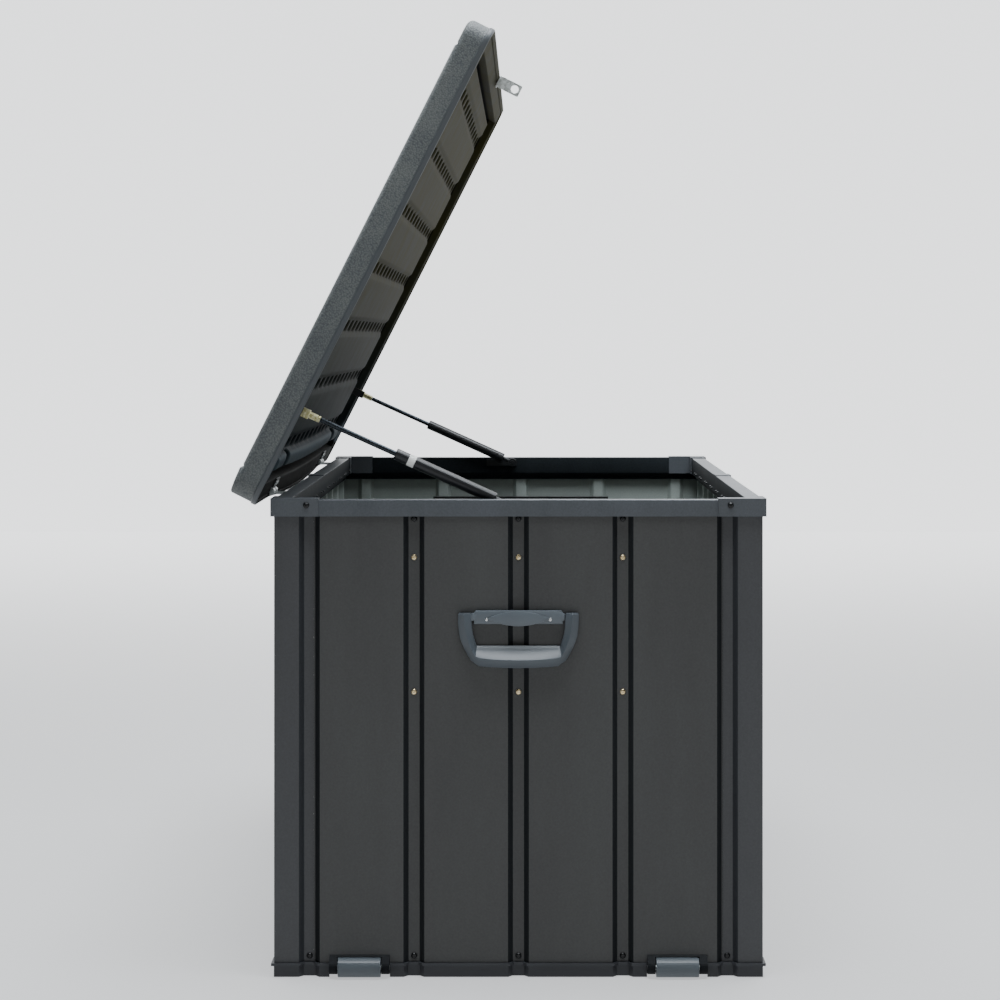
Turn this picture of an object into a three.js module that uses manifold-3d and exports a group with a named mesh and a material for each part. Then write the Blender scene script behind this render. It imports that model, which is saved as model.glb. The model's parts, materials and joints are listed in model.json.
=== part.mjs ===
// Deck storage box with a gas-strut lid, two carrying handles and two rollers.
// Millimetres, +Z up. X runs along the box, -Y is the front, +Y the hinge side.
// The origin is on the ground, under the middle of the walls.
import * as THREE from 'three';
import { mergeVertices } from 'three/addons/utils/BufferGeometryUtils.js';
import Module from 'manifold-3d';

const wasm = await Module();
wasm.setup();

// ---- driving dimensions -------------------------------------------------------------------------
const LENGTH = 1520; // over the rim rails, along X
const WIDTH = 739; // over the rim rails, along Y
const RIM_HEIGHT = 715; // top of the rim rails
const SHEET = 0.8; // wall and post sheet
const GAP = 0.3; // clearance between pieces that touch
const LIP = 1; // small reach past a face, so that a join or cut is clean

// walls and posts
const WALL_INSET = 3; // flat wall face behind the rail's outer face
const CHANNEL_SPACING = 157; // wished distance between two channels
const CHANNEL_DEPTH = 9;
const CHANNEL_FLOOR = 18;
const CHANNEL_SLOPE = 6;
const POST_FACE = 38; // flat width of a corner post
const POST_FLANGE = 15.5; // part of the channel floor that the post covers
const WALL_LAP = 24; // overlap of the two halves of a long wall

// base tray
const SKIRT_HEIGHT = 17;
const TRAY_FLOOR = 4; // floor and outer lip
const TRAY_LIP = 4; // lip proud of the walls
const SKIRT_WALL = 3.5;
const UPSTAND_HEIGHT = 21;
const UPSTAND_WALL = 3;
const RIB_WALL = 5;
const RIB_LIFT = 3; // ribs stay clear of the ground
const RIB_SPACING = 180;
const PAD_SIZE = 150; // square resting pad under the middle

// rim rails
const RAIL_SHEET = 1.2;
const RAIL_TOP = 26;
const RAIL_OUTER = 25; // height of the outer leg
const RAIL_INNER = 32; // height of the inner leg, down to its fold
const RAIL_FOLD = 6; // height of the sloping fold
const RAIL_RETURN = 6; // height of the return against the wall
const WALL_TOP_GAP = 2; // wall edge below the rail's top sheet
const CAP_SHEET = 1.7;
const CAP_LEG = 70;
const CAP_INNER = 32;
const SLEEVE_SHEET = 1;
const SLEEVE_LENGTH = 60;

// stiffener bars inside the end walls
const BAR_DROPS = [289, 87]; // bar middles below the rim
const BAR_TALL = 16;
const BAR_DEEP = 12;
const BAR_SHEET = 1.5;
const BAR_END = 20; // reach past the outer rivets

// rollers
const ROLLER_SETBACK = 131.5; // roller middle from the rim's side
const ROLLER_RADIUS = 14.5;
const ROLLER_LENGTH = 64;
const ROLLER_CLEAR = 1; // above the ground, and at each end
const ROLLER_OUT = 6; // axle outside the wall's face
const AXLE_RADIUS = 4;
const LUG_WIDTH = 12;
const LUG_RADIUS = 10;
const HOUSING_DEPTH = 34;
const HOUSING_TOP = 2;

// handles
const HANDLE_DROP = 175; // pivot of the bail below the rim
const HANDLE_OUT = 7; // pivot outside the wall's face
const BRACKET_HALF = 67;
const BRACKET_TOP = 9.6; // above the pivot
const BRACKET_DROP = 11; // below the pivot
const BRACKET_BOSS = 3.5; // lens under the bracket
const BRACKET_BOSS_HALF = 55;
const BRACKET_DEEP = 12;
const TRUNNION_RADIUS = 4;
const BAIL_CLEAR = 3; // bracket to the bail's arm
const BAIL_ARM = 20.5;
const BAIL_THICK = 12;
const BAIL_DROP = 76.5; // pivot to the bail's lower edge
const BAIL_CORNER_WIDE = 30;
const BAIL_CORNER_TALL = 46;
const BAIL_BOW = 4; // lower edge bowed down at mid-length
const BAIL_LEAN = 8; // arm's inner face leans in by this at the grip
const GRIP_TALL = 34;
const GRIP_DEEP = 19;
const GRIP_BAND = 17; // front band under the scooped grip

// lid
const LID_OPEN = 63.2; // degrees
const HINGE_OUT = 20; // hinge axis outside the rear rail
const HINGE_UP = 1; // hinge axis above the rim
const LID_END_OVERHANG = 18;
const LID_FRONT_OVERHANG = 29.5;
const LID_BACK = 11.5; // lid's rear face behind the hinge axis
const LID_HEIGHT = 43.5;
const LID_CORNER = 30;
const LID_ROUND = 9; // rounding of the top edge
const LID_SKIN = 3.5;
const LID_GROOVE = 2;
const LID_GROOVE_HALF = 3.5;
const LID_GROOVE_EDGE = 46; // groove from the front or rear face
const LINER_SKIN = 3;
const LINER_LIP = 15; // drip lip at the ends, outside the caps
const LINER_LIP_FRONT = 11;
const LINER_LIP_BACK = 7;
const LINER_LIP_CORNER = 12;
const LINER_RIM_END = 45; // rim at the ends, from the outer face to the inner skirt
const LINER_RIM_FRONT = 34.5;
const LINER_RIM_BACK = 34;
const LINER_RIM_UP = 2.2; // rim above the lip
const LINER_CORNER = 6;
const LINER_FIELD = 25; // field above the lip
const PLATEAU_DROP = 11; // plateau of the pit rows, below the field
const PIT_ROW_FIRST = 78.5; // first pit row from the hinge axis
const PIT_ROW_LAST = 91.5; // last pit row from the front face
const PIT_ROW_SPACING = 103; // wished distance between two rows
const PIT_ROW_WIDTH = 38; // gap between two bands
const BAND_RISE = 3; // bands stand out of the plateau
const BAND_END = 83; // plateau's end to the inner skirt
const BAND_CORNER = 16;
const FRONT_BAND_WIDTH = 31;
const RIB_START = 36; // rear rib, from the hinge axis
const RIB_WIDTH = 31;
const RIB_DROP = 23.5;
const RIB_END = 50; // rib's end to the inner skirt
const RIB_NOTCH = 38; // half of the rib's gap at each hinge

// hinges
const HINGE_SETBACK = 243; // hinge middle from the rim's end
const HINGE_LENGTH = 60;
const KNUCKLE_RADIUS = 5.5;
const PIN_RADIUS = 2.2;
const LEAF_SHEET = 2;
const FIXED_LEAF_DROP = 30;
const MOVING_LEAF_START = 7; // moving leaf from the hinge axis
const MOVING_LEAF_REACH = 22;
const HINGE_NOTCH = 2; // room round the knuckles in the lid

// hasp
const HASP_SHEET = 2;
const HASP_OUT = 19; // padlock hole outside the front rail
const HASP_DROP = 32.5; // padlock hole below the rim
const HASP_RADIUS = 10.5;
const HASP_HOLE = 7;
const HASP_CORNER = 1.5;
const HASP_FLANGE = 24;
const HASP_FLANGE_DEEP = 20;
const STAPLE_SHEET = 1.6;
const STAPLE_HALF = 18;
const STAPLE_BELOW = 11; // staple's plate, below the padlock hole
const STAPLE_DROP = 4; // and below the rim

// gas struts
const STRUT_INSET = 40; // strut from the rim's end
const STRUT_BASE_OUT = 17; // body pivot behind the middle
const STRUT_BASE_DROP = 9; // body pivot below the rim
const STRUT_LID_REACH = 144.6; // lid pivot from the hinge axis
const STRUT_LID_DROP = 2.2; // lid pivot below the lip
const TUBE_RADIUS = 9;
const TUBE_BORE = 7.2;
const TUBE_START = 20; // tube end from the body pivot
const TUBE_WALL = 8; // thickness of the closed end and of the guide
const ROD_RADIUS = 4;
const PISTON_RADIUS = 6.9;
const PISTON_TALL = 8;
const ROD_FITTING = 24.7; // lid pivot to the rod
const STRUT_SPARE = 18; // rod still out of the tube when closed
const PISTON_SPARE = 5; // piston above the tube's bottom when closed
const STUD_RADIUS = 4;
const EYE_RADIUS = 8;
const EYE_THICK = 12;
const SOCKET_BACK = 8; // end socket beyond the lid pivot
const SOCKET_FRONT = 7;
const SOCKET_HALF = 7;
const ADAPTER_RADIUS = 5.2;
const STRUT_PLATE = 2;
const STRUT_STUD = 2; // stud between the lid bracket's tab and the end socket
const BASE_PLATE_LENGTH = 60;
const BASE_PLATE_TALL = 14;
const LID_FLANGE_HALF = 15;
const LID_FLANGE_DEEP = 22;
const LID_TAB_HALF = 7;
const LID_TAB_END = 6.5; // tab below the pivot

// ---- derived places -----------------------------------------------------------------------------
const END_X = LENGTH / 2;
const SIDE_Y = WIDTH / 2;
const WALL_X = END_X - WALL_INSET;
const WALL_Y = SIDE_Y - WALL_INSET;
const TRAY_TOP = SKIRT_HEIGHT + TRAY_FLOOR;
const WALL_FOOT = TRAY_TOP + GAP;
const WALL_HEAD = RIM_HEIGHT - RAIL_SHEET - WALL_TOP_GAP;
const HANDLE_HEIGHT = RIM_HEIGHT - HANDLE_DROP;
const CORNER_CHANNEL = POST_FACE + CHANNEL_SLOPE + CHANNEL_FLOOR / 2;
const LAPPED_DEPTH = CHANNEL_DEPTH + SHEET + GAP; // wall sheet behind the post's flange
const RIDGE_FACE = CHANNEL_DEPTH + SHEET; // inner face of a channel, from the flat face
const RAIL_RETURN_FACE = WALL_INSET + LAPPED_DEPTH + SHEET + GAP + RAIL_SHEET;
const OPEN_ANGLE = THREE.MathUtils.degToRad(LID_OPEN);
const HINGE_Y = SIDE_Y + HINGE_OUT;
const HINGE_Z = RIM_HEIGHT + HINGE_UP;
const HINGE_X = END_X - HINGE_SETBACK;
const LID_HALF = END_X + LID_END_OVERHANG;
const LID_FRONT = HINGE_OUT + WIDTH + LID_FRONT_OVERHANG; // front face from the hinge axis
const ROLLER_X = WALL_X + ROLLER_OUT;
const ROLLER_OFFSET = SIDE_Y - ROLLER_SETBACK;
const ROLLER_Z = ROLLER_RADIUS + ROLLER_CLEAR;
const ROLLER_POCKET = ROLLER_LENGTH / 2 + ROLLER_CLEAR;
const HOUSING_HALF = ROLLER_POCKET + LUG_WIDTH;
const HOUSING_HEAD = ROLLER_Z + ROLLER_RADIUS + ROLLER_CLEAR + HOUSING_TOP;
const HASP_Y = SIDE_Y + HASP_OUT;
const HASP_Z = RIM_HEIGHT - HASP_DROP;
const STRUT_X = END_X - STRUT_INSET;
const STRUT_Y = STRUT_BASE_OUT;
const STRUT_Z = RIM_HEIGHT - STRUT_BASE_DROP;

// a point of the lid, `reach` in front of the hinge axis and `up` above the lip, at lid angle `angle`
function lidPoint(reach, up, angle) {
  const y = HINGE_Y - reach * Math.cos(angle) + up * Math.sin(angle);
  const z = HINGE_Z + reach * Math.sin(angle) + up * Math.cos(angle);
  return [y, z];
}

function strutAt(angle) {
  const [y, z] = lidPoint(STRUT_LID_REACH, -STRUT_LID_DROP, angle);
  return { length: Math.hypot(y - STRUT_Y, z - STRUT_Z), slope: Math.atan2(z - STRUT_Z, y - STRUT_Y) };
}

const STRUT_OPEN = strutAt(OPEN_ANGLE);
const STRUT_CLOSED = strutAt(0);
const STROKE = STRUT_OPEN.length - STRUT_CLOSED.length;
const TUBE_END = STRUT_CLOSED.length - ROD_FITTING - STRUT_SPARE;
const ROD_START = TUBE_START + TUBE_WALL + PISTON_SPARE + STROKE;

// ---- solids -------------------------------------------------------------------------------------
function toSolid(geometry) {
  const bare = geometry.clone();
  bare.deleteAttribute('normal');
  bare.deleteAttribute('uv');
  const merged = mergeVertices(bare, 1e-4);
  const vertProperties = new Float32Array(merged.attributes.position.array);
  const triVerts = new Uint32Array(merged.index.array);
  return new wasm.Manifold(new wasm.Mesh({ numProp: 3, vertProperties, triVerts }));
}

function toGeometry(solid) {
  const mesh = solid.getMesh();
  const geometry = new THREE.BufferGeometry();
  geometry.setAttribute('position', new THREE.BufferAttribute(mesh.vertProperties, 3));
  geometry.setIndex(new THREE.BufferAttribute(mesh.triVerts, 1));
  geometry.computeVertexNormals();
  return geometry;
}

function join(first, ...others) {
  return toGeometry(others.reduce((solid, other) => solid.add(toSolid(other)), toSolid(first)));
}

function cut(first, ...tools) {
  return toGeometry(tools.reduce((solid, tool) => solid.subtract(toSolid(tool)), toSolid(first)));
}

function box(x0, x1, y0, y1, z0, z1) {
  const geometry = new THREE.BoxGeometry(Math.abs(x1 - x0), Math.abs(y1 - y0), Math.abs(z1 - z0));
  return geometry.translate((x0 + x1) / 2, (y0 + y1) / 2, (z0 + z1) / 2);
}

function shapeOf(points) {
  return new THREE.Shape(points.map(([a, b]) => new THREE.Vector2(a, b)));
}

// extrusion of an outline along Z, with an optional hole
function prismZ(points, z0, z1, hole) {
  const shape = shapeOf(points);
  if (hole) shape.holes.push(shapeOf(hole));
  return new THREE.ExtrudeGeometry(shape, { depth: z1 - z0, bevelEnabled: false }).translate(0, 0, z0);
}

// extrusion of a [y, z] outline along X
function prismX(points, x0, x1, hole) {
  const turn = new THREE.Matrix4().set(0, 0, 1, 0, 1, 0, 0, 0, 0, 1, 0, 0, 0, 0, 0, 1);
  return prismZ(points, Math.min(x0, x1), Math.max(x0, x1), hole).applyMatrix4(turn);
}

// extrusion of an [x, z] outline along Y
function prismY(points, y0, y1, hole) {
  const turn = new THREE.Matrix4().set(1, 0, 0, 0, 0, 0, -1, 0, 0, 1, 0, 0, 0, 0, 0, 1);
  return prismZ(points, -Math.max(y0, y1), -Math.min(y0, y1), hole).applyMatrix4(turn);
}

function rodX(radius, x0, x1, y, z, sides = 20) {
  const rod = new THREE.CylinderGeometry(radius, radius, Math.abs(x1 - x0), sides);
  return rod.rotateZ(Math.PI / 2).translate((x0 + x1) / 2, y, z);
}

function rodY(radius, y0, y1, x, z, sides = 20) {
  const rod = new THREE.CylinderGeometry(radius, radius, Math.abs(y1 - y0), sides);
  return rod.translate(x, (y0 + y1) / 2, z);
}

function arc(cx, cy, radius, from, to, steps) {
  return Array.from({ length: steps + 1 }, (_, i) => {
    const angle = THREE.MathUtils.degToRad(from + ((to - from) * i) / steps);
    return [cx + radius * Math.cos(angle), cy + radius * Math.sin(angle)];
  });
}

function ellipse(cx, cy, rx, ry, from, to, steps) {
  return arc(0, 0, 1, from, to, steps).map(([x, y]) => [cx + rx * x, cy + ry * y]);
}

function roundedRectangle(a0, a1, b0, b1, radius, steps = 4) {
  return [
    ...arc(a1 - radius, b1 - radius, radius, 0, 90, steps),
    ...arc(a0 + radius, b1 - radius, radius, 90, 180, steps),
    ...arc(a0 + radius, b0 + radius, radius, 180, 270, steps),
    ...arc(a1 - radius, b0 + radius, radius, 270, 360, steps),
  ];
}

// each corner of a line moved to its right by `distance`, with mitred corners
function offsetLine(points, distance, closed = false) {
  const count = points.length;
  const normal = (i) => {
    const [p, q] = [points[i], points[(i + 1) % count]];
    const length = Math.hypot(q[0] - p[0], q[1] - p[1]);
    return [(q[1] - p[1]) / length, -(q[0] - p[0]) / length];
  };
  return points.map((point, i) => {
    const before = normal(closed ? (i + count - 1) % count : Math.max(i - 1, 0));
    const after = normal(closed ? i : Math.min(i, count - 2));
    const scale = distance / (1 + before[0] * after[0] + before[1] * after[1]);
    return [point[0] + (before[0] + after[0]) * scale, point[1] + (before[1] + after[1]) * scale];
  });
}

// a bent sheet: the line is one face, the other lies `sheet` to its right
function ribbon(points, sheet) {
  return [...points, ...offsetLine(points, sheet).reverse()];
}

// ---- corrugated walls ---------------------------------------------------------------------------
// middles of the channels along a wall of this half length, the corner channels included
function channelMiddles(half) {
  const reach = 2 * (half - CORNER_CHANNEL);
  const count = Math.max(1, Math.round(reach / CHANNEL_SPACING));
  return Array.from({ length: count + 1 }, (_, k) => -half + CORNER_CHANNEL + (k * reach) / count);
}

// [along, depth] corners of one channel
function channel(middle, depth) {
  const half = CHANNEL_FLOOR / 2;
  return [
    [middle - half - CHANNEL_SLOPE, 0],
    [middle - half, depth],
    [middle + half, depth],
    [middle + half + CHANNEL_SLOPE, 0],
  ];
}

// face line of a wall sheet between its two posts, whose ends lie behind the posts' flanges
function wallLine(half) {
  const middles = channelMiddles(half);
  const [first, last] = [middles[0], middles[middles.length - 1]];
  const inner = middles.slice(1, -1).flatMap((middle) => channel(middle, CHANNEL_DEPTH));
  return [
    [first - CHANNEL_FLOOR / 2 + LIP, LAPPED_DEPTH],
    [first + CHANNEL_FLOOR / 2, LAPPED_DEPTH],
    [first + CHANNEL_FLOOR / 2 + CHANNEL_SLOPE, 0],
    ...inner,
    [last - CHANNEL_FLOOR / 2 - CHANNEL_SLOPE, 0],
    [last - CHANNEL_FLOOR / 2, LAPPED_DEPTH],
    [last + CHANNEL_FLOOR / 2 - LIP, LAPPED_DEPTH],
  ];
}

const NOTCH = HOUSING_HALF + GAP; // half width of the roller's cut-out

function rollerNotches(x0, x1, z0, z1) {
  return [-1, 1].map((side) => {
    const middle = side * ROLLER_OFFSET;
    return box(x0, x1, middle - NOTCH, middle + NOTCH, z0, z1);
  });
}

function endWall(side) {
  const line = wallLine(WALL_Y).map(([along, depth]) => [side * (WALL_X - depth), side * along]);
  const sheet = prismZ(ribbon(line, -SHEET), WALL_FOOT, WALL_HEAD);
  if (side > 0) return sheet;
  return cut(sheet, ...rollerNotches(-END_X, -END_X / 2, 0, HOUSING_HEAD + GAP));
}

// half of the front (side -1) or rear (side 1) wall; the right half's edge is joggled behind the left's
function longWall(side, end) {
  const line = wallLine(WALL_X);
  const clear = WALL_LAP / 2;
  const kept = line.filter(([along]) => (end < 0 ? along < -clear : along > clear));
  const lap = SHEET + GAP;
  const edge = end < 0 ? [[clear, 0]] : [[-clear, lap], [clear, lap], [clear + 2 * lap, 0]];
  const points = end < 0 ? [...kept, ...edge] : [...edge, ...kept];
  const placed = points.map(([along, depth]) => [along, side * (WALL_Y - depth)]);
  return prismZ(ribbon(placed, side * SHEET), WALL_FOOT, WALL_HEAD);
}

function cornerPost(endSide, side) {
  const flange = POST_FACE + CHANNEL_SLOPE + POST_FLANGE;
  const line = [
    [flange, CHANNEL_DEPTH],
    [POST_FACE + CHANNEL_SLOPE, CHANNEL_DEPTH],
    [POST_FACE, 0],
    [0, 0],
    [0, POST_FACE],
    [CHANNEL_DEPTH, POST_FACE + CHANNEL_SLOPE],
    [CHANNEL_DEPTH, flange],
  ];
  const place = ([a, b]) => [endSide * (WALL_X - b), side * (WALL_Y - a)];
  return prismZ(ribbon(line, -SHEET).map(place), WALL_FOOT, WALL_HEAD);
}

// ---- base tray ----------------------------------------------------------------------------------
// closed outline of walls and posts, anticlockwise, with its corner channels `extra` deeper
function wallOutline(extra) {
  const side = (half) => {
    const middles = channelMiddles(half);
    return middles.flatMap((middle, k) => {
      const corner = k === 0 || k === middles.length - 1;
      return channel(middle, CHANNEL_DEPTH + (corner ? extra : 0));
    });
  };
  return [
    [-WALL_X, -WALL_Y],
    ...side(WALL_X).map(([along, depth]) => [along, -WALL_Y + depth]),
    [WALL_X, -WALL_Y],
    ...side(WALL_Y).map(([along, depth]) => [WALL_X - depth, along]),
    [WALL_X, WALL_Y],
    ...side(WALL_X).map(([along, depth]) => [-along, WALL_Y - depth]),
    [-WALL_X, WALL_Y],
    ...side(WALL_Y).map(([along, depth]) => [-WALL_X + depth, -along]),
  ];
}

function baseTray() {
  const outline = wallOutline(0);
  const upstandFace = offsetLine(wallOutline(SHEET + GAP), -SHEET - GAP, true);
  const upstandBack = offsetLine(upstandFace, -UPSTAND_WALL, true);
  const innerX = WALL_X - CHANNEL_DEPTH - SKIRT_WALL;
  const innerY = WALL_Y - CHANNEL_DEPTH - SKIRT_WALL;
  const ribs = [];
  const acrossCount = Math.floor(innerX / RIB_SPACING);
  for (let k = -acrossCount; k <= acrossCount; k += 1) {
    const x = k * RIB_SPACING;
    ribs.push(box(x - RIB_WALL / 2, x + RIB_WALL / 2, -innerY, innerY, RIB_LIFT, TRAY_TOP - LIP));
  }
  const alongCount = Math.floor(innerY / RIB_SPACING);
  for (let k = -alongCount; k <= alongCount; k += 1) {
    const y = k * RIB_SPACING;
    ribs.push(box(-innerX, innerX, y - RIB_WALL / 2, y + RIB_WALL / 2, RIB_LIFT, TRAY_TOP - LIP));
  }
  const pad = box(-PAD_SIZE / 2, PAD_SIZE / 2, -PAD_SIZE / 2, PAD_SIZE / 2, 0, TRAY_TOP - LIP);
  const whole = join(
    prismZ(offsetLine(outline, TRAY_LIP, true), SKIRT_HEIGHT, TRAY_TOP),
    prismZ(outline, 0, SKIRT_HEIGHT + LIP, offsetLine(outline, -SKIRT_WALL, true)),
    prismZ(upstandFace, TRAY_TOP - LIP, TRAY_TOP + UPSTAND_HEIGHT, upstandBack),
    pad,
    ...ribs,
  );
  const back = -WALL_X + HOUSING_DEPTH;
  const lap = SHEET + GAP;
  const [x0, x1] = [-WALL_LAP / 2 - GAP, WALL_LAP / 2 + 3 * lap];
  const lapRooms = [-1, 1].map((side) => {
    return box(x0, x1, side * WALL_Y, side * (WALL_Y - 2 * lap), TRAY_TOP, TRAY_TOP + 2 * UPSTAND_HEIGHT);
  });
  return cut(whole, ...lapRooms, ...rollerNotches(-END_X - TRAY_LIP, back, -LIP, HOUSING_HEAD + GAP));
}

// ---- rim rails, sleeves and caps ----------------------------------------------------------------
const RAIL_LINE = [
  [0, RIM_HEIGHT - RAIL_OUTER],
  [0, RIM_HEIGHT],
  [RAIL_TOP, RIM_HEIGHT],
  [RAIL_TOP, RIM_HEIGHT - RAIL_INNER],
  [RAIL_RETURN_FACE, RIM_HEIGHT - RAIL_INNER - RAIL_FOLD],
  [RAIL_RETURN_FACE, RIM_HEIGHT - RAIL_INNER - RAIL_FOLD - RAIL_RETURN],
];
const RAIL_PROFILE = ribbon(RAIL_LINE, RAIL_SHEET);
const MITRE_REACH = 60;

// wedge that takes a rail's end off at 45 degrees; `along` is the rail's own axis
function mitre(endSide, side, along) {
  const [top, foot] = [RIM_HEIGHT + MITRE_REACH, RIM_HEIGHT - 2 * MITRE_REACH];
  const out = END_X - GAP / 2;
  const far = END_X + MITRE_REACH;
  const wide = SIDE_Y - GAP / 2;
  const farWide = SIDE_Y + MITRE_REACH;
  const r = MITRE_REACH;
  const points = along === 'x'
    ? [[out + r, SIDE_Y + r], [out - r, SIDE_Y - r], [far + r, SIDE_Y - r], [far + r, SIDE_Y + r]]
    : [[END_X + r, wide + r], [END_X - r, wide - r], [END_X - r, farWide + r], [END_X + r, farWide + r]];
  return prismZ(points.map(([x, y]) => [endSide * x, side * y]), foot, top);
}

function endRail(endSide) {
  const profile = RAIL_PROFILE.map(([e, z]) => [endSide * (END_X - e), z]);
  return cut(prismY(profile, -SIDE_Y, SIDE_Y), mitre(endSide, -1, 'y'), mitre(endSide, 1, 'y'));
}

function longRail(side, endSide) {
  const profile = RAIL_PROFILE.map(([e, z]) => [side * (SIDE_Y - e), z]);
  return cut(prismX(profile, endSide * GAP, endSide * END_X), mitre(endSide, side, 'x'));
}

function sleeve(side) {
  const line = [
    [-GAP - SLEEVE_SHEET, RIM_HEIGHT - RAIL_OUTER],
    [-GAP - SLEEVE_SHEET, RIM_HEIGHT + GAP + SLEEVE_SHEET],
    [RAIL_TOP, RIM_HEIGHT + GAP + SLEEVE_SHEET],
  ];
  const profile = ribbon(line, SLEEVE_SHEET).map(([e, z]) => [side * (SIDE_Y - e), z]);
  return prismX(profile, -SLEEVE_LENGTH / 2, SLEEVE_LENGTH / 2);
}

function cornerCap(endSide, side) {
  const out = -GAP - CAP_SHEET;
  const back = RAIL_TOP + GAP + CAP_SHEET;
  const top = RIM_HEIGHT + GAP + CAP_SHEET;
  const ell = (a, b) => [[a, a], [CAP_LEG, a], [CAP_LEG, b], [b, b], [b, CAP_LEG], [a, CAP_LEG]];
  const place = (points) => points.map(([a, b]) => [endSide * (END_X - a), side * (SIDE_Y - b)]);
  return join(
    prismZ(place(ell(out, back)), RIM_HEIGHT + GAP, top),
    prismZ(place(ell(out, -GAP)), RIM_HEIGHT - RAIL_OUTER, top),
    prismZ(place(ell(RAIL_TOP + GAP, back)), RIM_HEIGHT - CAP_INNER, top),
  );
}

// ---- stiffener bars -----------------------------------------------------------------------------
function stiffener(endSide, height) {
  const middles = channelMiddles(WALL_Y).slice(1, -1);
  const reach = Math.max(...middles) + BAR_END;
  const face = WALL_X - RIDGE_FACE - GAP;
  const line = [
    [face - BAR_DEEP, height - BAR_TALL / 2],
    [face, height - BAR_TALL / 2],
    [face, height + BAR_TALL / 2],
    [face - BAR_DEEP, height + BAR_TALL / 2],
  ];
  const profile = ribbon(line, -BAR_SHEET).map(([x, z]) => [endSide * x, z]);
  return prismY(profile, -reach, reach);
}

// ---- rollers ------------------------------------------------------------------------------------
function rollerHousing(side) {
  const middle = side * ROLLER_OFFSET;
  const back = -WALL_X + HOUSING_DEPTH - GAP;
  const front = -ROLLER_X;
  const outline = [
    [back, RIB_LIFT],
    [back, HOUSING_HEAD],
    [-WALL_X, HOUSING_HEAD],
    ...arc(front, ROLLER_Z, LUG_RADIUS, 120, 270, 8),
  ];
  const block = prismY(outline, middle - HOUSING_HALF, middle + HOUSING_HALF);
  const pocket = ROLLER_RADIUS + ROLLER_CLEAR;
  const [low, high] = [middle - ROLLER_POCKET, middle + ROLLER_POCKET];
  return cut(
    block,
    box(-END_X - pocket, -ROLLER_X, low, high, -LIP, HOUSING_HEAD - HOUSING_TOP),
    box(-ROLLER_X - pocket, -ROLLER_X + pocket, low, high, -LIP, ROLLER_Z),
    rodY(pocket, low, high, -ROLLER_X, ROLLER_Z, 28),
    rodY(AXLE_RADIUS + GAP, middle - HOUSING_HALF - LIP, middle + HOUSING_HALF + LIP, -ROLLER_X, ROLLER_Z),
  );
}

function roller(side) {
  const middle = side * ROLLER_OFFSET;
  const half = ROLLER_LENGTH / 2;
  const body = rodY(ROLLER_RADIUS, middle - half, middle + half, -ROLLER_X, ROLLER_Z, 28);
  return cut(body, rodY(AXLE_RADIUS + GAP, middle - half - LIP, middle + half + LIP, -ROLLER_X, ROLLER_Z));
}

function rollerAxle(side) {
  const middle = side * ROLLER_OFFSET;
  return rodY(AXLE_RADIUS, middle - HOUSING_HALF, middle + HOUSING_HALF, -ROLLER_X, ROLLER_Z);
}

// ---- handles, modelled at the -X end ------------------------------------------------------------
const PIVOT_X = -WALL_X - HANDLE_OUT;
const ARM_INNER = BRACKET_HALF + BAIL_CLEAR;
const ARM_OUTER = ARM_INNER + BAIL_ARM;

function handleBracket() {
  const [low, high] = [HANDLE_HEIGHT - BRACKET_DROP, HANDLE_HEIGHT + BRACKET_TOP];
  const boss = Array.from({ length: 9 }, (_, i) => {
    const along = -BRACKET_BOSS_HALF + (i * BRACKET_BOSS_HALF) / 4;
    return [along, low - BRACKET_BOSS * (1 - (along / BRACKET_BOSS_HALF) ** 2)];
  });
  const corner = BRACKET_BOSS;
  const outline = [
    [-BRACKET_HALF, low],
    ...boss,
    [BRACKET_HALF, low],
    [BRACKET_HALF, high - corner],
    [BRACKET_HALF - corner, high],
    [corner - BRACKET_HALF, high],
    [-BRACKET_HALF, high - corner],
  ];
  const back = -WALL_X - GAP;
  const reach = ARM_OUTER - TRUNNION_RADIUS;
  return join(
    prismX(outline, back - BRACKET_DEEP, back),
    rodY(TRUNNION_RADIUS, -reach, -BRACKET_HALF + LIP, PIVOT_X, HANDLE_HEIGHT),
    rodY(TRUNNION_RADIUS, BRACKET_HALF - LIP, reach, PIVOT_X, HANDLE_HEIGHT),
  );
}

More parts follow.
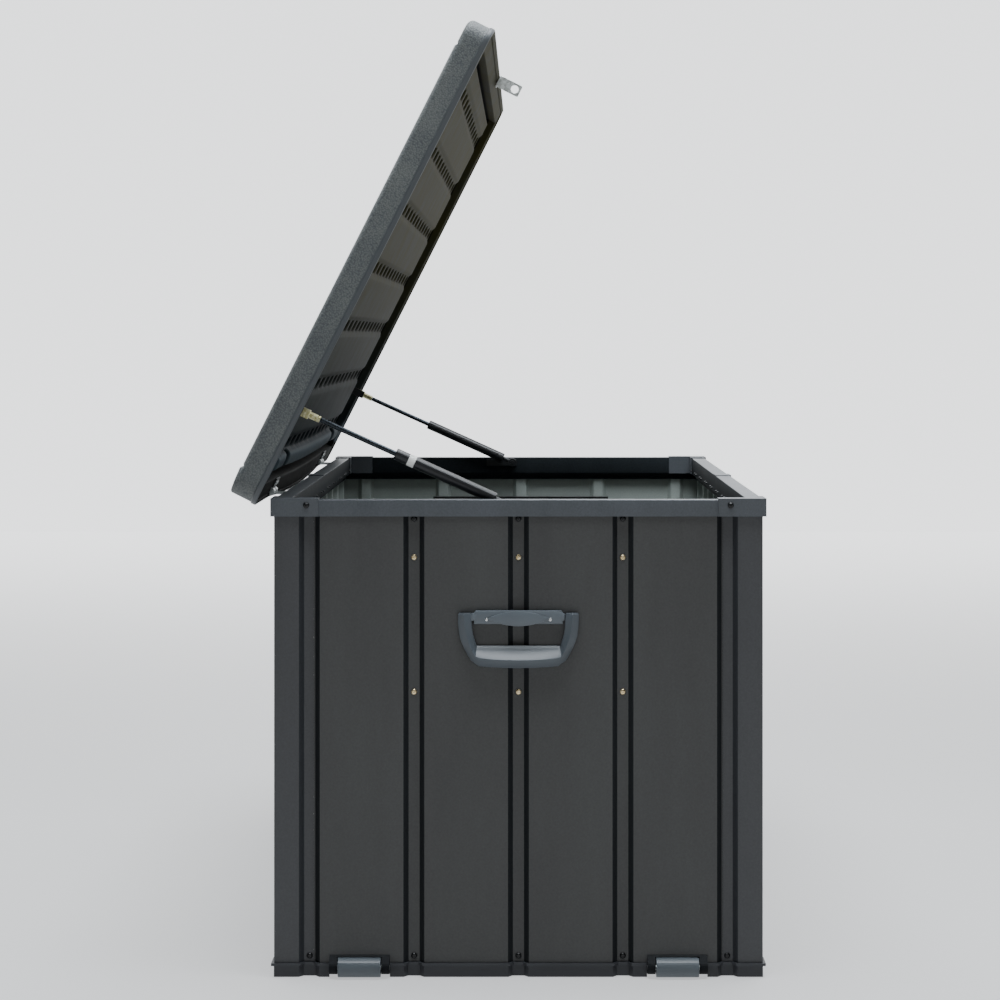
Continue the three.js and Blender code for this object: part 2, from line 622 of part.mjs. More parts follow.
// D-shaped bail whose lower bar is scooped towards the wall for the fingers
function handleBail() {
  const foot = HANDLE_HEIGHT - BAIL_DROP;
  const gripTop = foot + GRIP_TALL;
  const bandTop = foot + GRIP_BAND;
  const low = foot + BAIL_BOW;
  const turn = ARM_OUTER - BAIL_CORNER_WIDE;
  const [wide, tall] = [BAIL_CORNER_WIDE, BAIL_CORNER_TALL];
  const innerFoot = ARM_INNER - BAIL_LEAN;
  const outline = [
    [-ARM_OUTER, HANDLE_HEIGHT],
    ...ellipse(-turn, low + tall, wide, tall, 180, 270, 6),
    [-turn / 2, foot + BAIL_BOW / 4],
    [0, foot],
    [turn / 2, foot + BAIL_BOW / 4],
    ...ellipse(turn, low + tall, wide, tall, 270, 360, 6),
    [ARM_OUTER, HANDLE_HEIGHT],
    [ARM_INNER, HANDLE_HEIGHT],
    [innerFoot, gripTop],
    [innerFoot - LIP, bandTop],
    [LIP - innerFoot, bandTop],
    [-innerFoot, gripTop],
    [-ARM_INNER, HANDLE_HEIGHT],
  ];
  const half = BAIL_THICK / 2;
  const back = PIVOT_X + half;
  const front = back - GRIP_DEEP;
  const round = (GRIP_DEEP - BAIL_THICK) / 2;
  const grip = [
    [back, low + LIP],
    [front + round, low + LIP],
    [front, low + round],
    [front, bandTop - LIP],
    [back - TRUNNION_RADIUS, gripTop],
    [back, gripTop],
  ];
  return cut(
    join(
      prismX(outline, PIVOT_X - half, back),
      prismY(grip, -innerFoot, innerFoot),
      rodY(half, -ARM_OUTER, -ARM_INNER, PIVOT_X, HANDLE_HEIGHT, 24),
      rodY(half, ARM_INNER, ARM_OUTER, PIVOT_X, HANDLE_HEIGHT, 24),
    ),
    rodY(TRUNNION_RADIUS + GAP, -ARM_OUTER - LIP, ARM_OUTER + LIP, PIVOT_X, HANDLE_HEIGHT),
  );
}

// ---- lid, modelled closed round the hinge axis: +Y to the back, +Z up ---------------------------
// rounded block from the lip up, `inset` inside the lid's outer face
function lidBlock(inset, z0, z1) {
  const round = Math.max(LID_ROUND - inset, 1);
  const corner = LID_CORNER - inset - round;
  const edge = inset + round;
  const outline = roundedRectangle(
    -LID_HALF + edge, LID_HALF - edge, -LID_FRONT + edge, LID_BACK - edge, corner);
  const bevel = { bevelThickness: round, bevelSize: round, bevelSegments: 3, curveSegments: 1 };
  const block = new THREE.ExtrudeGeometry(shapeOf(outline), { depth: z1 - z0, ...bevel });
  block.translate(0, 0, z0 - round);
  const reach = LID_HALF + LIP;
  return cut(block, box(-reach, reach, -LID_FRONT - LIP, LID_BACK + LIP, z0 - 3 * round, z0));
}

// outline of the lid, inset at its ends, front and back
function lidOutline(end, front = end, back = end, corner = LID_CORNER - end) {
  return roundedRectangle(-LID_HALF + end, LID_HALF - end, -LID_FRONT + front, LID_BACK - back, corner);
}

function lidShell() {
  const groove = (middle) => prismX([
    [middle - LID_GROOVE_HALF, LID_HEIGHT + LIP],
    [middle - LID_GROOVE_HALF, LID_HEIGHT],
    [middle, LID_HEIGHT - LID_GROOVE],
    [middle + LID_GROOVE_HALF, LID_HEIGHT],
    [middle + LID_GROOVE_HALF, LID_HEIGHT + LIP],
  ], -LID_HALF - LIP, LID_HALF + LIP);
  return cut(
    lidBlock(0, 0, LID_HEIGHT),
    lidBlock(LID_SKIN, -LIP, LID_HEIGHT - LID_SKIN),
    groove(LID_BACK - LID_GROOVE_EDGE),
    groove(-LID_FRONT + LID_GROOVE_EDGE),
  );
}

// raised part of the inner skin between two distances from the hinge axis, and its hollow
function swelling(x0, x1, near, far, drop) {
  const corner = Math.min(BAND_CORNER, (far - near) / 2 - LIP);
  const skin = LINER_SKIN;
  const outer = roundedRectangle(x0, x1, -far, -near, corner);
  const inner = roundedRectangle(x0 + skin, x1 - skin, -far + skin, -near - skin, corner - skin + LIP);
  const low = LINER_FIELD - drop;
  return {
    outer: prismZ(outer, low, LINER_FIELD + LIP),
    hollow: prismZ(inner, low + skin, LINER_FIELD + skin + LIP),
  };
}

function lidLiner() {
  const skirt = (skin, corner) => {
    return lidOutline(LINER_RIM_END - skin, LINER_RIM_FRONT - skin, LINER_RIM_BACK - skin, corner);
  };
  const inside = skirt(0, LINER_CORNER);
  const outside = skirt(LINER_SKIN, LINER_CORNER + LINER_SKIN);
  const under = skirt(LINER_SKIN - LIP, LINER_CORNER + LINER_SKIN - LIP);
  const edge = lidOutline(LID_SKIN + GAP);
  const top = LINER_FIELD + LINER_SKIN;
  const half = LID_HALF - LINER_RIM_END - BAND_END;
  const reach = LID_FRONT - PIT_ROW_LAST - PIT_ROW_FIRST;
  const bandCount = Math.max(1, Math.round(reach / PIT_ROW_SPACING));
  const pitch = reach / bandCount;
  const front = LID_FRONT - PIT_ROW_LAST + PIT_ROW_WIDTH / 2;
  const back = PIT_ROW_FIRST - PIT_ROW_WIDTH / 2;
  const hinges = [HINGE_X - RIB_NOTCH, HINGE_X + RIB_NOTCH];
  const ribEnd = LID_HALF - LINER_RIM_END - RIB_END;
  const ribs = [[-ribEnd, -hinges[1]], [-hinges[0], hinges[0]], [hinges[1], ribEnd]];
  const swellings = [
    swelling(-half, half, back, front + FRONT_BAND_WIDTH, PLATEAU_DROP),
    ...ribs.map(([x0, x1]) => swelling(x0, x1, RIB_START, RIB_START + RIB_WIDTH, RIB_DROP)),
  ];
  const low = LINER_FIELD - PLATEAU_DROP;
  const band = (near, far) => {
    const corner = Math.min(BAND_CORNER, (far - near) / 2 - LIP);
    return prismZ(roundedRectangle(-half + LIP, half - LIP, -far, -near, corner), low - BAND_RISE, low + LIP);
  };
  const bands = Array.from({ length: bandCount }, (_, k) => {
    const near = PIT_ROW_FIRST + k * pitch + PIT_ROW_WIDTH / 2;
    return band(near, near + pitch - PIT_ROW_WIDTH);
  });
  const skin = join(
    prismZ(edge, 0, LINER_RIM_UP + LIP, lidOutline(LINER_LIP, LINER_LIP_FRONT, LINER_LIP_BACK, LINER_LIP_CORNER)),
    prismZ(edge, LINER_RIM_UP, LINER_RIM_UP + LINER_SKIN, under),
    prismZ(outside, LINER_RIM_UP, top, inside),
    prismZ(under, LINER_FIELD, top),
    ...swellings.map(({ outer }) => outer),
  );
  const notches = [-1, 1].map((side) => {
    const wide = HINGE_LENGTH / 2 + HINGE_NOTCH;
    const [x0, x1] = [side * HINGE_X - wide, side * HINGE_X + wide];
    const deep = KNUCKLE_RADIUS + HINGE_NOTCH;
    return box(x0, x1, -deep, Math.min(deep, LID_BACK - LID_SKIN), -LIP, deep);
  });
  const hollowed = cut(skin, ...swellings.map(({ hollow }) => hollow), ...notches);
  return join(hollowed, ...bands, band(front, front + FRONT_BAND_WIDTH - LIP));
}

// ---- hinges -------------------------------------------------------------------------------------
const KNUCKLE_LENGTH = (HINGE_LENGTH - 2 * GAP) / 3;

function knuckle(from, to) {
  return [rodX(KNUCKLE_RADIUS, from, to, 0, 0, 24), rodX(PIN_RADIUS + GAP, from - LIP, to + LIP, 0, 0)];
}

function hingeFixedLeaf() {
  const half = HINGE_LENGTH / 2;
  const face = -HINGE_OUT + GAP;
  const ends = [[-half, -half + KNUCKLE_LENGTH], [half - KNUCKLE_LENGTH, half]];
  const knuckles = ends.map(([from, to]) => knuckle(from, to));
  const head = -PIN_RADIUS - GAP;
  const webs = ends.map(([from, to]) => box(from, to, face, 0, head - LEAF_SHEET, head));
  const plate = box(-half, half, face, face + LEAF_SHEET, -FIXED_LEAF_DROP, head);
  const room = box(-half + KNUCKLE_LENGTH, half - KNUCKLE_LENGTH, -KNUCKLE_RADIUS - GAP, KNUCKLE_RADIUS,
    -KNUCKLE_RADIUS - GAP, KNUCKLE_RADIUS);
  const whole = join(plate, ...webs, ...knuckles.map(([body]) => body));
  return cut(whole, room, ...knuckles.map(([, bore]) => bore));
}

function hingeMovingLeaf() {
  const half = HINGE_LENGTH / 2;
  const [body, bore] = knuckle(-KNUCKLE_LENGTH / 2, KNUCKLE_LENGTH / 2);
  const top = LINER_RIM_UP - GAP;
  const start = -MOVING_LEAF_START;
  const plate = box(-half, half, -MOVING_LEAF_REACH, start, top - LEAF_SHEET, top);
  const web = box(-KNUCKLE_LENGTH / 2, KNUCKLE_LENGTH / 2, start - LIP, 0, top - LEAF_SHEET, top);
  return cut(join(plate, web, body), bore);
}

function hingePin() {
  return rodX(PIN_RADIUS, -HINGE_LENGTH / 2, HINGE_LENGTH / 2, 0, 0, 16);
}

// ---- hasp ---------------------------------------------------------------------------------------
function haspHole(x0, x1, cy, cz) {
  return rodX(HASP_HOLE, x0 - LIP, x1 + LIP, cy, cz, 20);
}

// round the hinge axis, lid closed; a strap with a square end
function haspLug() {
  const [cy, cz] = [-HASP_Y - HINGE_Y, HASP_Z - HINGE_Z];
  const half = HASP_SHEET / 2;
  const [front, back] = [cy - HASP_RADIUS, cy + HASP_RADIUS];
  const low = cz - HASP_RADIUS;
  const strap = [
    [front, -GAP - LIP], [front, low + HASP_CORNER], [front + HASP_CORNER, low],
    [back - HASP_CORNER, low], [back, low + HASP_CORNER], [back, -GAP - LIP],
  ];
  const flange = box(-half, HASP_FLANGE, back - HASP_FLANGE_DEEP, back, -GAP - HASP_SHEET, -GAP);
  return cut(join(prismX(strap, -half, half), flange), haspHole(-half, half, cy, cz));
}

function lockStaple() {
  const face = -SIDE_Y - 2 * GAP - SLEEVE_SHEET;
  const [low, high] = [HASP_Z - STAPLE_BELOW, RIM_HEIGHT - STAPLE_DROP];
  const x0 = HASP_SHEET / 2 + 2 * GAP;
  const x1 = x0 + HASP_SHEET;
  const ear = [[face, low + LIP], [face, HASP_Z + HASP_RADIUS], ...arc(-HASP_Y, HASP_Z, HASP_RADIUS, 90, 270, 10)];
  const base = box(-STAPLE_HALF, STAPLE_HALF, face - STAPLE_SHEET, face, low, high);
  return cut(join(prismX(ear, x0, x1), base), haspHole(x0, x1, -HASP_Y, HASP_Z));
}

// ---- gas struts, modelled along +Y from the body pivot ------------------------------------------
function lathe(points, sides = 24) {
  return new THREE.LatheGeometry(points.map(([r, y]) => new THREE.Vector2(r, y)), sides);
}

function strutTube() {
  const top = TUBE_END - TUBE_WALL;
  return lathe([
    [0, TUBE_START], [TUBE_RADIUS - LIP, TUBE_START], [TUBE_RADIUS, TUBE_START + LIP],
    [TUBE_RADIUS, TUBE_END - LIP], [TUBE_RADIUS - LIP, TUBE_END], [ROD_RADIUS + GAP, TUBE_END],
    [ROD_RADIUS + GAP, top], [TUBE_BORE, top], [TUBE_BORE, TUBE_START + TUBE_WALL],
    [0, TUBE_START + TUBE_WALL],
  ]);
}

function strutRod() {
  const head = STRUT_OPEN.length - ROD_FITTING - GAP;
  return lathe([
    [0, ROD_START], [PISTON_RADIUS, ROD_START], [PISTON_RADIUS, ROD_START + PISTON_TALL],
    [ROD_RADIUS, ROD_START + PISTON_TALL], [ROD_RADIUS, head], [0, head],
  ], 20);
}

function strutBaseFitting() {
  const half = EYE_THICK / 2;
  const shank = lathe([[0, 0], [ROD_RADIUS, 0], [ROD_RADIUS, TUBE_START - GAP], [0, TUBE_START - GAP]], 16);
  const eye = rodX(EYE_RADIUS, -half, half, 0, 0, 24);
  return cut(join(eye, shank), rodX(STUD_RADIUS + GAP, -half - LIP, half + LIP, 0, 0));
}

function strutEndSocket() {
  const end = STRUT_OPEN.length;
  const socket = box(-EYE_THICK / 2, EYE_THICK / 2, end - SOCKET_FRONT, end + SOCKET_BACK,
    -SOCKET_HALF, SOCKET_HALF);
  const length = ROD_FITTING - SOCKET_FRONT + LIP;
  const adapter = new THREE.CylinderGeometry(ADAPTER_RADIUS, ADAPTER_RADIUS, length, 6);
  return join(socket, adapter.translate(0, end - ROD_FITTING + length / 2, 0));
}

function strutBaseBracket(endSide) {
  const face = endSide * (END_X - RAIL_TOP - GAP);
  const inner = face - endSide * STRUT_PLATE;
  const end = endSide * (STRUT_X - EYE_THICK / 2 - LIP);
  const low = STRUT_Z - BASE_PLATE_TALL / 2 - LIP;
  const plate = box(face, inner, STRUT_Y - EYE_RADIUS - LIP, STRUT_Y + BASE_PLATE_LENGTH - EYE_RADIUS,
    low, low + BASE_PLATE_TALL);
  return join(plate, rodX(STUD_RADIUS, inner + endSide * LIP, end, STRUT_Y, STRUT_Z));
}

// round the hinge axis, lid closed: a flange under the field and a tab on the strut's inner side,
// whose stud stops short of the strut's end socket
function strutLidBracket(endSide) {
  const end = endSide * (STRUT_X - EYE_THICK / 2 - GAP);
  const face = end - endSide * STRUT_STUD;
  const inner = face - endSide * STRUT_PLATE;
  const middle = -STRUT_LID_REACH;
  const top = LINER_FIELD - GAP;
  const tab = box(face, inner, middle - LID_TAB_HALF, middle + LID_TAB_HALF,
    -STRUT_LID_DROP - LID_TAB_END, top);
  const flange = box(face, face - endSide * LID_FLANGE_DEEP, middle - LID_FLANGE_HALF,
    middle + LID_FLANGE_HALF, top - STRUT_PLATE, top);
  return join(tab, flange, rodX(STUD_RADIUS, inner + endSide * LIP, end, middle, -STRUT_LID_DROP));
}

// ---- finishes -----------------------------------------------------------------------------------
function finish(color, roughness, metalness) {
  return new THREE.MeshStandardMaterial({ color, roughness, metalness });
}

const POWDER_COAT = finish(0x3c3d40, 0.55, 0.2);
const RIM_COAT = finish(0x46494d, 0.5, 0.2);
const MOULDING = finish(0x2f3133, 0.6, 0);
const LID_TOP_PLASTIC = finish(0x565b60, 0.75, 0);
const LID_INNER_PLASTIC = finish(0x55553c, 0.6, 0);
const GALVANISED = finish(0xc9ccca, 0.35, 0.9);
const YELLOW_ZINC = finish(0xb9ad5a, 0.35, 0.8);
const BLACK_STEEL = finish(0x1e2124, 0.3, 0.5);
const ROLLER_PLASTIC = finish(0x34373a, 0.5, 0);
const HANDLE_PLASTIC = finish(0x3e4347, 0.5, 0);

// ---- assembly -----------------------------------------------------------------------------------
const deckBox = new THREE.Group();

function add(parent, name, geometry, material) {
  const mesh = new THREE.Mesh(geometry, material);
  mesh.name = name;
  parent.add(mesh);
  return mesh;
}

const ENDS = [['left', -1], ['right', 1]];
const SIDES = [['front', -1], ['rear', 1]];

add(deckBox, 'base_tray', baseTray(), MOULDING);
for (const [end, endSide] of ENDS) {
  add(deckBox, `end_wall_${end}`, endWall(endSide), POWDER_COAT);
  add(deckBox, `end_rail_${end}`, endRail(endSide), RIM_COAT);
  BAR_DROPS.forEach((drop, k) => {
    const bar = stiffener(endSide, RIM_HEIGHT - drop);
    add(deckBox, `stiffener_${end}_${['lower', 'upper'][k]}`, bar, POWDER_COAT);
  });
  for (const [face, side] of SIDES) {
    add(deckBox, `${face}_wall_${end}`, longWall(side, endSide), POWDER_COAT);
    add(deckBox, `${face}_rail_${end}`, longRail(side, endSide), RIM_COAT);
    add(deckBox, `corner_post_${face}_${end}`, cornerPost(endSide, side), POWDER_COAT);
    add(deckBox, `corner_cap_${face}_${end}`, cornerCap(endSide, side), RIM_COAT);
  }
  add(deckBox, `strut_base_bracket_${end}`, strutBaseBracket(endSide), BLACK_STEEL);

  const handle = new THREE.Group();
  handle.rotation.z = endSide > 0 ? Math.PI : 0;
  deckBox.add(handle);
  add(handle, `handle_bracket_${end}`, handleBracket(), HANDLE_PLASTIC);
  add(handle, `handle_bail_${end}`, handleBail(), HANDLE_PLASTIC);

  const strut = new THREE.Group();
  strut.position.set(endSide * STRUT_X, STRUT_Y, STRUT_Z);
  strut.rotation.x = STRUT_OPEN.slope;
  deckBox.add(strut);
  add(strut, `strut_base_fitting_${end}`, strutBaseFitting(), BLACK_STEEL);
  add(strut, `strut_tube_${end}`, strutTube(), BLACK_STEEL);
  add(strut, `strut_rod_${end}`, strutRod(), BLACK_STEEL);
  add(strut, `strut_end_socket_${end}`, strutEndSocket(), YELLOW_ZINC);

  const hinge = new THREE.Group();
  hinge.position.set(endSide * HINGE_X, HINGE_Y, HINGE_Z);
  deckBox.add(hinge);
  add(hinge, `hinge_fixed_leaf_${end}`, hingeFixedLeaf(), GALVANISED);
  add(hinge, `hinge_pin_${end}`, hingePin(), GALVANISED);
}
for (const [face, side] of SIDES) {
  add(deckBox, `rail_sleeve_${face}`, sleeve(side), RIM_COAT);
  add(deckBox, `roller_housing_${face}`, rollerHousing(side), MOULDING);
  add(deckBox, `roller_${face}`, roller(side), ROLLER_PLASTIC);
  add(deckBox, `roller_axle_${face}`, rollerAxle(side), GALVANISED);
}
add(deckBox, 'lock_staple', lockStaple(), GALVANISED);

const lid = new THREE.Group();
lid.position.set(0, HINGE_Y, HINGE_Z);
lid.rotation.x = -OPEN_ANGLE;
deckBox.add(lid);
add(lid, 'lid_shell', lidShell(), LID_TOP_PLASTIC);
add(lid, 'lid_liner', lidLiner(), LID_INNER_PLASTIC);
add(lid, 'hasp_lug', haspLug(), GALVANISED);
for (const [end, endSide] of ENDS) {
  add(lid, `strut_lid_bracket_${end}`, strutLidBracket(endSide), BLACK_STEEL);
  const leaf = add(lid, `hinge_moving_leaf_${end}`, hingeMovingLeaf(), BLACK_STEEL);
  leaf.position.x = endSide * HINGE_X;
}

export default deckBox;
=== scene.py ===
"""The finish of the deck storage box, laid over its CAD solids.

Pieces are modelled in millimetres and stored in metres, in the frame of the solids:
X along the box, -Y the front, +Y the hinge side, +Z up, the ground at zero.
"""

import json
import math

import bmesh
import bpy
from mathutils import Matrix, Vector


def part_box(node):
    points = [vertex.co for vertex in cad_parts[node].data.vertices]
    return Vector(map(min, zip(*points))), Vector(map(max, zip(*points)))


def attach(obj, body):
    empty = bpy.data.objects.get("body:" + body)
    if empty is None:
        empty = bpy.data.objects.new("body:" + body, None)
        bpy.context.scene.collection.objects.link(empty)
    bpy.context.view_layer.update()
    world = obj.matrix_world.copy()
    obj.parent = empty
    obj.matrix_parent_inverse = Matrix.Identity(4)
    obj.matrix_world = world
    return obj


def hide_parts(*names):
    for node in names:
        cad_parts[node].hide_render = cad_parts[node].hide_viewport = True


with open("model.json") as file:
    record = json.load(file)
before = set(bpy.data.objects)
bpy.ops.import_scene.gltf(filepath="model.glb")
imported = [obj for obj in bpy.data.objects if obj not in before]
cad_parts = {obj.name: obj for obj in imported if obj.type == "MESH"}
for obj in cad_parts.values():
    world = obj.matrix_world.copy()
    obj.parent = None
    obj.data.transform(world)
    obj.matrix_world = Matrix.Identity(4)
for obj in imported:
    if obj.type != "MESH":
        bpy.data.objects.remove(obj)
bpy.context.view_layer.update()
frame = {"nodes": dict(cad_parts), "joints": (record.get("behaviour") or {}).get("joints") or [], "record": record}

MM = 0.001
ENDS = {"left": -1, "right": 1}
SIDES = {"front": -1, "rear": 1}


def node_box(name):
    """Lowest and highest corner of a CAD node, in millimetres."""
    low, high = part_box(name)
    return Vector(low) / MM, Vector(high) / MM


# ---- sizes of the sheet metal, the same as in the solids ----------------------------------------
SHEET = 0.8  # walls and posts
GAP = 0.3  # between pieces that lie on each other
WALL_INSET = 3  # from the rails' outer face to the walls' face
CHANNEL_SPACING = 157  # aimed at; each wall has a whole number of channels
CHANNEL_DEPTH = 9
CHANNEL_FLOOR = 18
CHANNEL_SLOPE = 6
POST_FACE = 38
POST_FLANGE = 15.5
WALL_LAP = 24
WALL_END = 1  # a wall stops this far inside its corner channel's floor
FLANK_NORMAL = 0.9  # no part of a sloping flank's normal reaches this
RAIL_SHEET = 1.2
RAIL_TOP = 26  # width of the top
RAIL_OUTER = 25  # heights of the two legs
RAIL_INNER = 32
RAIL_FOLD = 6  # height of the inner leg's slope back to the wall
RAIL_RETURN = 6  # height of its foot against the wall
LOOKS_IN = 0.3  # a face on a rail's inside looks inward by more than this
LOOKS_OUT = -0.5  # and one on its outside by less than this
LEG_EDGE = 0.5  # so far out, the top's rounded edge counts as the inner leg
RAIL_ROUND = 1.4  # distance from a fold's corner at which its rounding starts
FOLD = 1.6  # the same for walls and posts
CLOSE = 0.01  # positions this near are the same

rail_high = node_box("end_rail_right")[1]
END_X = rail_high.x
SIDE_Y = rail_high.y
RIM_Z = rail_high.z
WALL_X = END_X - WALL_INSET
WALL_Y = SIDE_Y - WALL_INSET
WALL_FOOT = node_box("end_wall_right")[0].z
WALL_HEAD = node_box("end_wall_right")[1].z
HOUSING_HEAD = node_box("roller_housing_front")[1].z
HOUSING_HALF = (node_box("roller_housing_rear")[1].y - node_box("roller_housing_rear")[0].y) / 2
ROLLER_OFFSET = (node_box("roller_rear")[1].y + node_box("roller_rear")[0].y) / 2
HINGE_X = (node_box("hinge_pin_right")[0].x + node_box("hinge_pin_right")[1].x) / 2
CORNER_CHANNEL = POST_FACE + CHANNEL_SLOPE + CHANNEL_FLOOR / 2
LAPPED_DEPTH = CHANNEL_DEPTH + SHEET + GAP

joints = {joint["name"]: joint for joint in frame["joints"]}
HINGE = Vector(joints["lid_hinge"]["pos_m"]) / MM
LID_OPEN = math.radians(joints["lid_hinge"]["range_deg"][1])
LID_PLACE = Matrix.Translation(HINGE) @ Matrix.Rotation(-LID_OPEN, 4, "X")
UP = Vector((0, 0, 1))


# ---- modelling helpers --------------------------------------------------------------------------
def linked(name, data):
    """A new object in the scene."""
    thing = bpy.data.objects.new(name, data)
    bpy.context.scene.collection.objects.link(thing)
    return thing


def kept(bm, name="stamp"):
    """Turns a bmesh into a mesh, which can be a piece or be stamped many times."""
    mesh = bpy.data.meshes.new(name)
    bm.to_mesh(mesh)
    bm.free()
    return mesh


def add_piece(name, bm, materials, body, replaced=(), place=Matrix(), sharp=32, sheet=0, backed=False):
    """Stores a millimetre bmesh as a piece that rides on a body, with an optional sheet thickness.

    Edges that turn by `sharp` degrees or more stay sharp. A backed sheet's inner side takes the
    material after each face's own.
    """
    bm.transform(Matrix.Scale(MM, 4) @ place)
    limit = math.radians(sharp)
    for face in bm.faces:
        face.smooth = True
    for edge in bm.edges:
        edge.smooth = len(edge.link_faces) == 2 and edge.calc_face_angle() < limit
    piece = linked(name, kept(bm, name))
    for material in materials:
        piece.data.materials.append(material)
    if sheet:
        skin = piece.modifiers.new("thickness", "SOLIDIFY")
        skin.thickness = sheet * MM
        skin.offset = -1
        skin.use_even_offset = True
        skin.material_offset = 1 if backed else 0
    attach(piece, body)
    if replaced:
        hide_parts(*replaced)


def face_towards(bm, direction):
    """Turns an open sheet's faces so that, taken together, they look in a direction."""
    bmesh.ops.recalc_face_normals(bm, faces=bm.faces[:])
    if sum(face.normal.dot(direction) * face.calc_area() for face in bm.faces) < 0:
        bmesh.ops.reverse_faces(bm, faces=bm.faces[:])


def cut(bm, point, normal, clear=False):
    """Cuts everything along a plane; `clear` drops what lies beyond it."""
    bmesh.ops.bisect_plane(
        bm, geom=bm.verts[:] + bm.edges[:] + bm.faces[:], plane_co=point, plane_no=normal, clear_outer=clear)


def round_off(bm, geom, radius, segments, affect):
    """Rounds the corners of a wire (VERTICES) or the edges of a solid (EDGES)."""
    bmesh.ops.bevel(
        bm, geom=geom, offset=radius, offset_type="OFFSET", segments=segments, profile=0.5,
        affect=affect, clamp_overlap=affect == "EDGES", material=-1)


def folded_sheet(points, height, outward, fold):
    """A sheet whose plan runs through [(x, y)], with rounded folds, standing up from z = 0."""
    bm = bmesh.new()
    verts = [bm.verts.new((x, y, 0)) for x, y in points]
    for first, second in zip(verts, verts[1:]):
        bm.edges.new((first, second))
    round_off(bm, verts[1:-1], fold, segments=3, affect="VERTICES")
    raised = bmesh.ops.extrude_edge_only(bm, edges=bm.edges[:])["geom"]
    raised = [item for item in raised if isinstance(item, bmesh.types.BMVert)]
    bmesh.ops.translate(bm, vec=(0, 0, height), verts=raised)
    face_towards(bm, Vector(outward))
    return bm


def rounded_loop(bm, low, high, z, radius):
    """Wire loop of a rounded rectangle between two (x, y) corners; returns its edges."""
    known = set(bm.edges)
    corners = [(low[0], low[1]), (high[0], low[1]), (high[0], high[1]), (low[0], high[1])]
    verts = [bm.verts.new((x, y, z)) for x, y in corners]
    for k in range(4):
        bm.edges.new((verts[k], verts[(k + 1) % 4]))
    round_off(bm, verts, radius, segments=8, affect="VERTICES")
    return [edge for edge in bm.edges if edge not in known]


def loft(bm, loops):
    """Bridges wire loops that have the same number of edges, in order."""
    for first, second in zip(loops, loops[1:]):
        bmesh.ops.bridge_loops(bm, edges=first + second)


def fill(bm, loop):
    """Closes a wire loop with one face."""
    bmesh.ops.edgeloop_fill(bm, edges=loop)


def turned(profile, steps):
    """Closed solid turned round Z from a [(radius, z)] profile."""
    bm = bmesh.new()
    verts = [bm.verts.new((radius, 0, z)) for radius, z in profile]
    edges = [bm.edges.new(pair) for pair in zip(verts, verts[1:])]
    bmesh.ops.spin(
        bm, geom=verts + edges, cent=(0, 0, 0), axis=(0, 0, 1), dvec=(0, 0, 0),
        angle=2 * math.pi, steps=steps, use_merge=True, use_duplicate=False)
    bmesh.ops.remove_doubles(bm, verts=bm.verts[:], dist=0.001)
    bmesh.ops.recalc_face_normals(bm, faces=bm.faces[:])
    return bm


def block(low, high, bevel):
    """Box between two corners with its edges rounded."""
    bm = bmesh.new()
    bmesh.ops.create_cube(bm, size=1)
    low, high = Vector(low), Vector(high)
    bmesh.ops.scale(bm, vec=high - low, verts=bm.verts[:])
    bmesh.ops.translate(bm, vec=(low + high) / 2, verts=bm.verts[:])
    round_off(bm, bm.edges[:], bevel, segments=2, affect="EDGES")
    return bm


def slab(points, depth, bevel):
    """Plate with an [(x, y)] outline, from z = 0 up to its depth, upper edge rounded."""
    bm = bmesh.new()
    base = bm.faces.new([bm.verts.new((x, y, 0)) for x, y in points])
    raised = bmesh.ops.extrude_face_region(bm, geom=[base])["geom"]
    top = [item for item in raised if isinstance(item, bmesh.types.BMFace)][0]
    bmesh.ops.translate(bm, vec=(0, 0, depth), verts=top.verts)
    bmesh.ops.recalc_face_normals(bm, faces=bm.faces[:])
    round_off(bm, top.edges[:], bevel, segments=2, affect="EDGES")
    return bm


def stamp(bm, mesh, place):
    """Adds a copy of a kept mesh to a bmesh."""
    count = len(bm.verts)
    bm.from_mesh(mesh)
    bm.verts.ensure_lookup_table()
    bmesh.ops.transform(bm, matrix=place, verts=bm.verts[count:])


def stamped(mesh, places):
    """One bmesh with a copy of a kept mesh at each place."""
    bm = bmesh.new()
    for place in places:
        stamp(bm, mesh, place)
    return bm


def looking(position, outward):
    """Place of a turned piece that stands at a position and looks outward."""
    turn = UP.rotation_difference(Vector(outward)).to_matrix().to_4x4()
    return Matrix.Translation(Vector(position)) @ turn


def smooth(value, low, high):
    """0 below low, 1 above high, an S-curve in between."""
    t = min(max((value - low) / (high - low), 0), 1)
    return t * t * (3 - 2 * t)


# ---- shader helpers; those that add a node return its output socket -----------------------------
def linear(code):
    """An sRGB hex value as a linear colour."""
    parts = [int(code[k:k + 2], 16) / 255 for k in (1, 3, 5)]
    return (*[c / 12.92 if c <= 0.04045 else ((c + 0.055) / 1.055) ** 2.4 for c in parts], 1)


def per_metre(size):
    """Texture scale that gives a pattern this size in millimetres."""
    return 1 / (size * MM)


def add_node(tree, kind, inputs=None, output=0, **settings):
    """Adds a node with its settings; an input is a value, or the output socket to link from."""
    node = tree.nodes.new(kind)
    for name, value in settings.items():
        setattr(node, name, value)
    for name, value in (inputs or {}).items():
        if isinstance(value, bpy.types.NodeSocket):
            tree.links.new(value, node.inputs[name])
        else:
            node.inputs[name].default_value = value
    return node.outputs[output]


def object_place(tree):
    """Coordinates of the piece, in metres."""
    return add_node(tree, "ShaderNodeTexCoord", output="Object")


def lid_place(tree):
    """Coordinates of the closed lid round its hinge axis, in metres."""
    moved = add_node(tree, "ShaderNodeVectorMath", {
        0: object_place(tree), 1: HINGE * MM}, operation="SUBTRACT")
    return add_node(tree, "ShaderNodeVectorRotate", {
        "Vector": moved, "Angle": LID_OPEN}, rotation_type="X_AXIS")


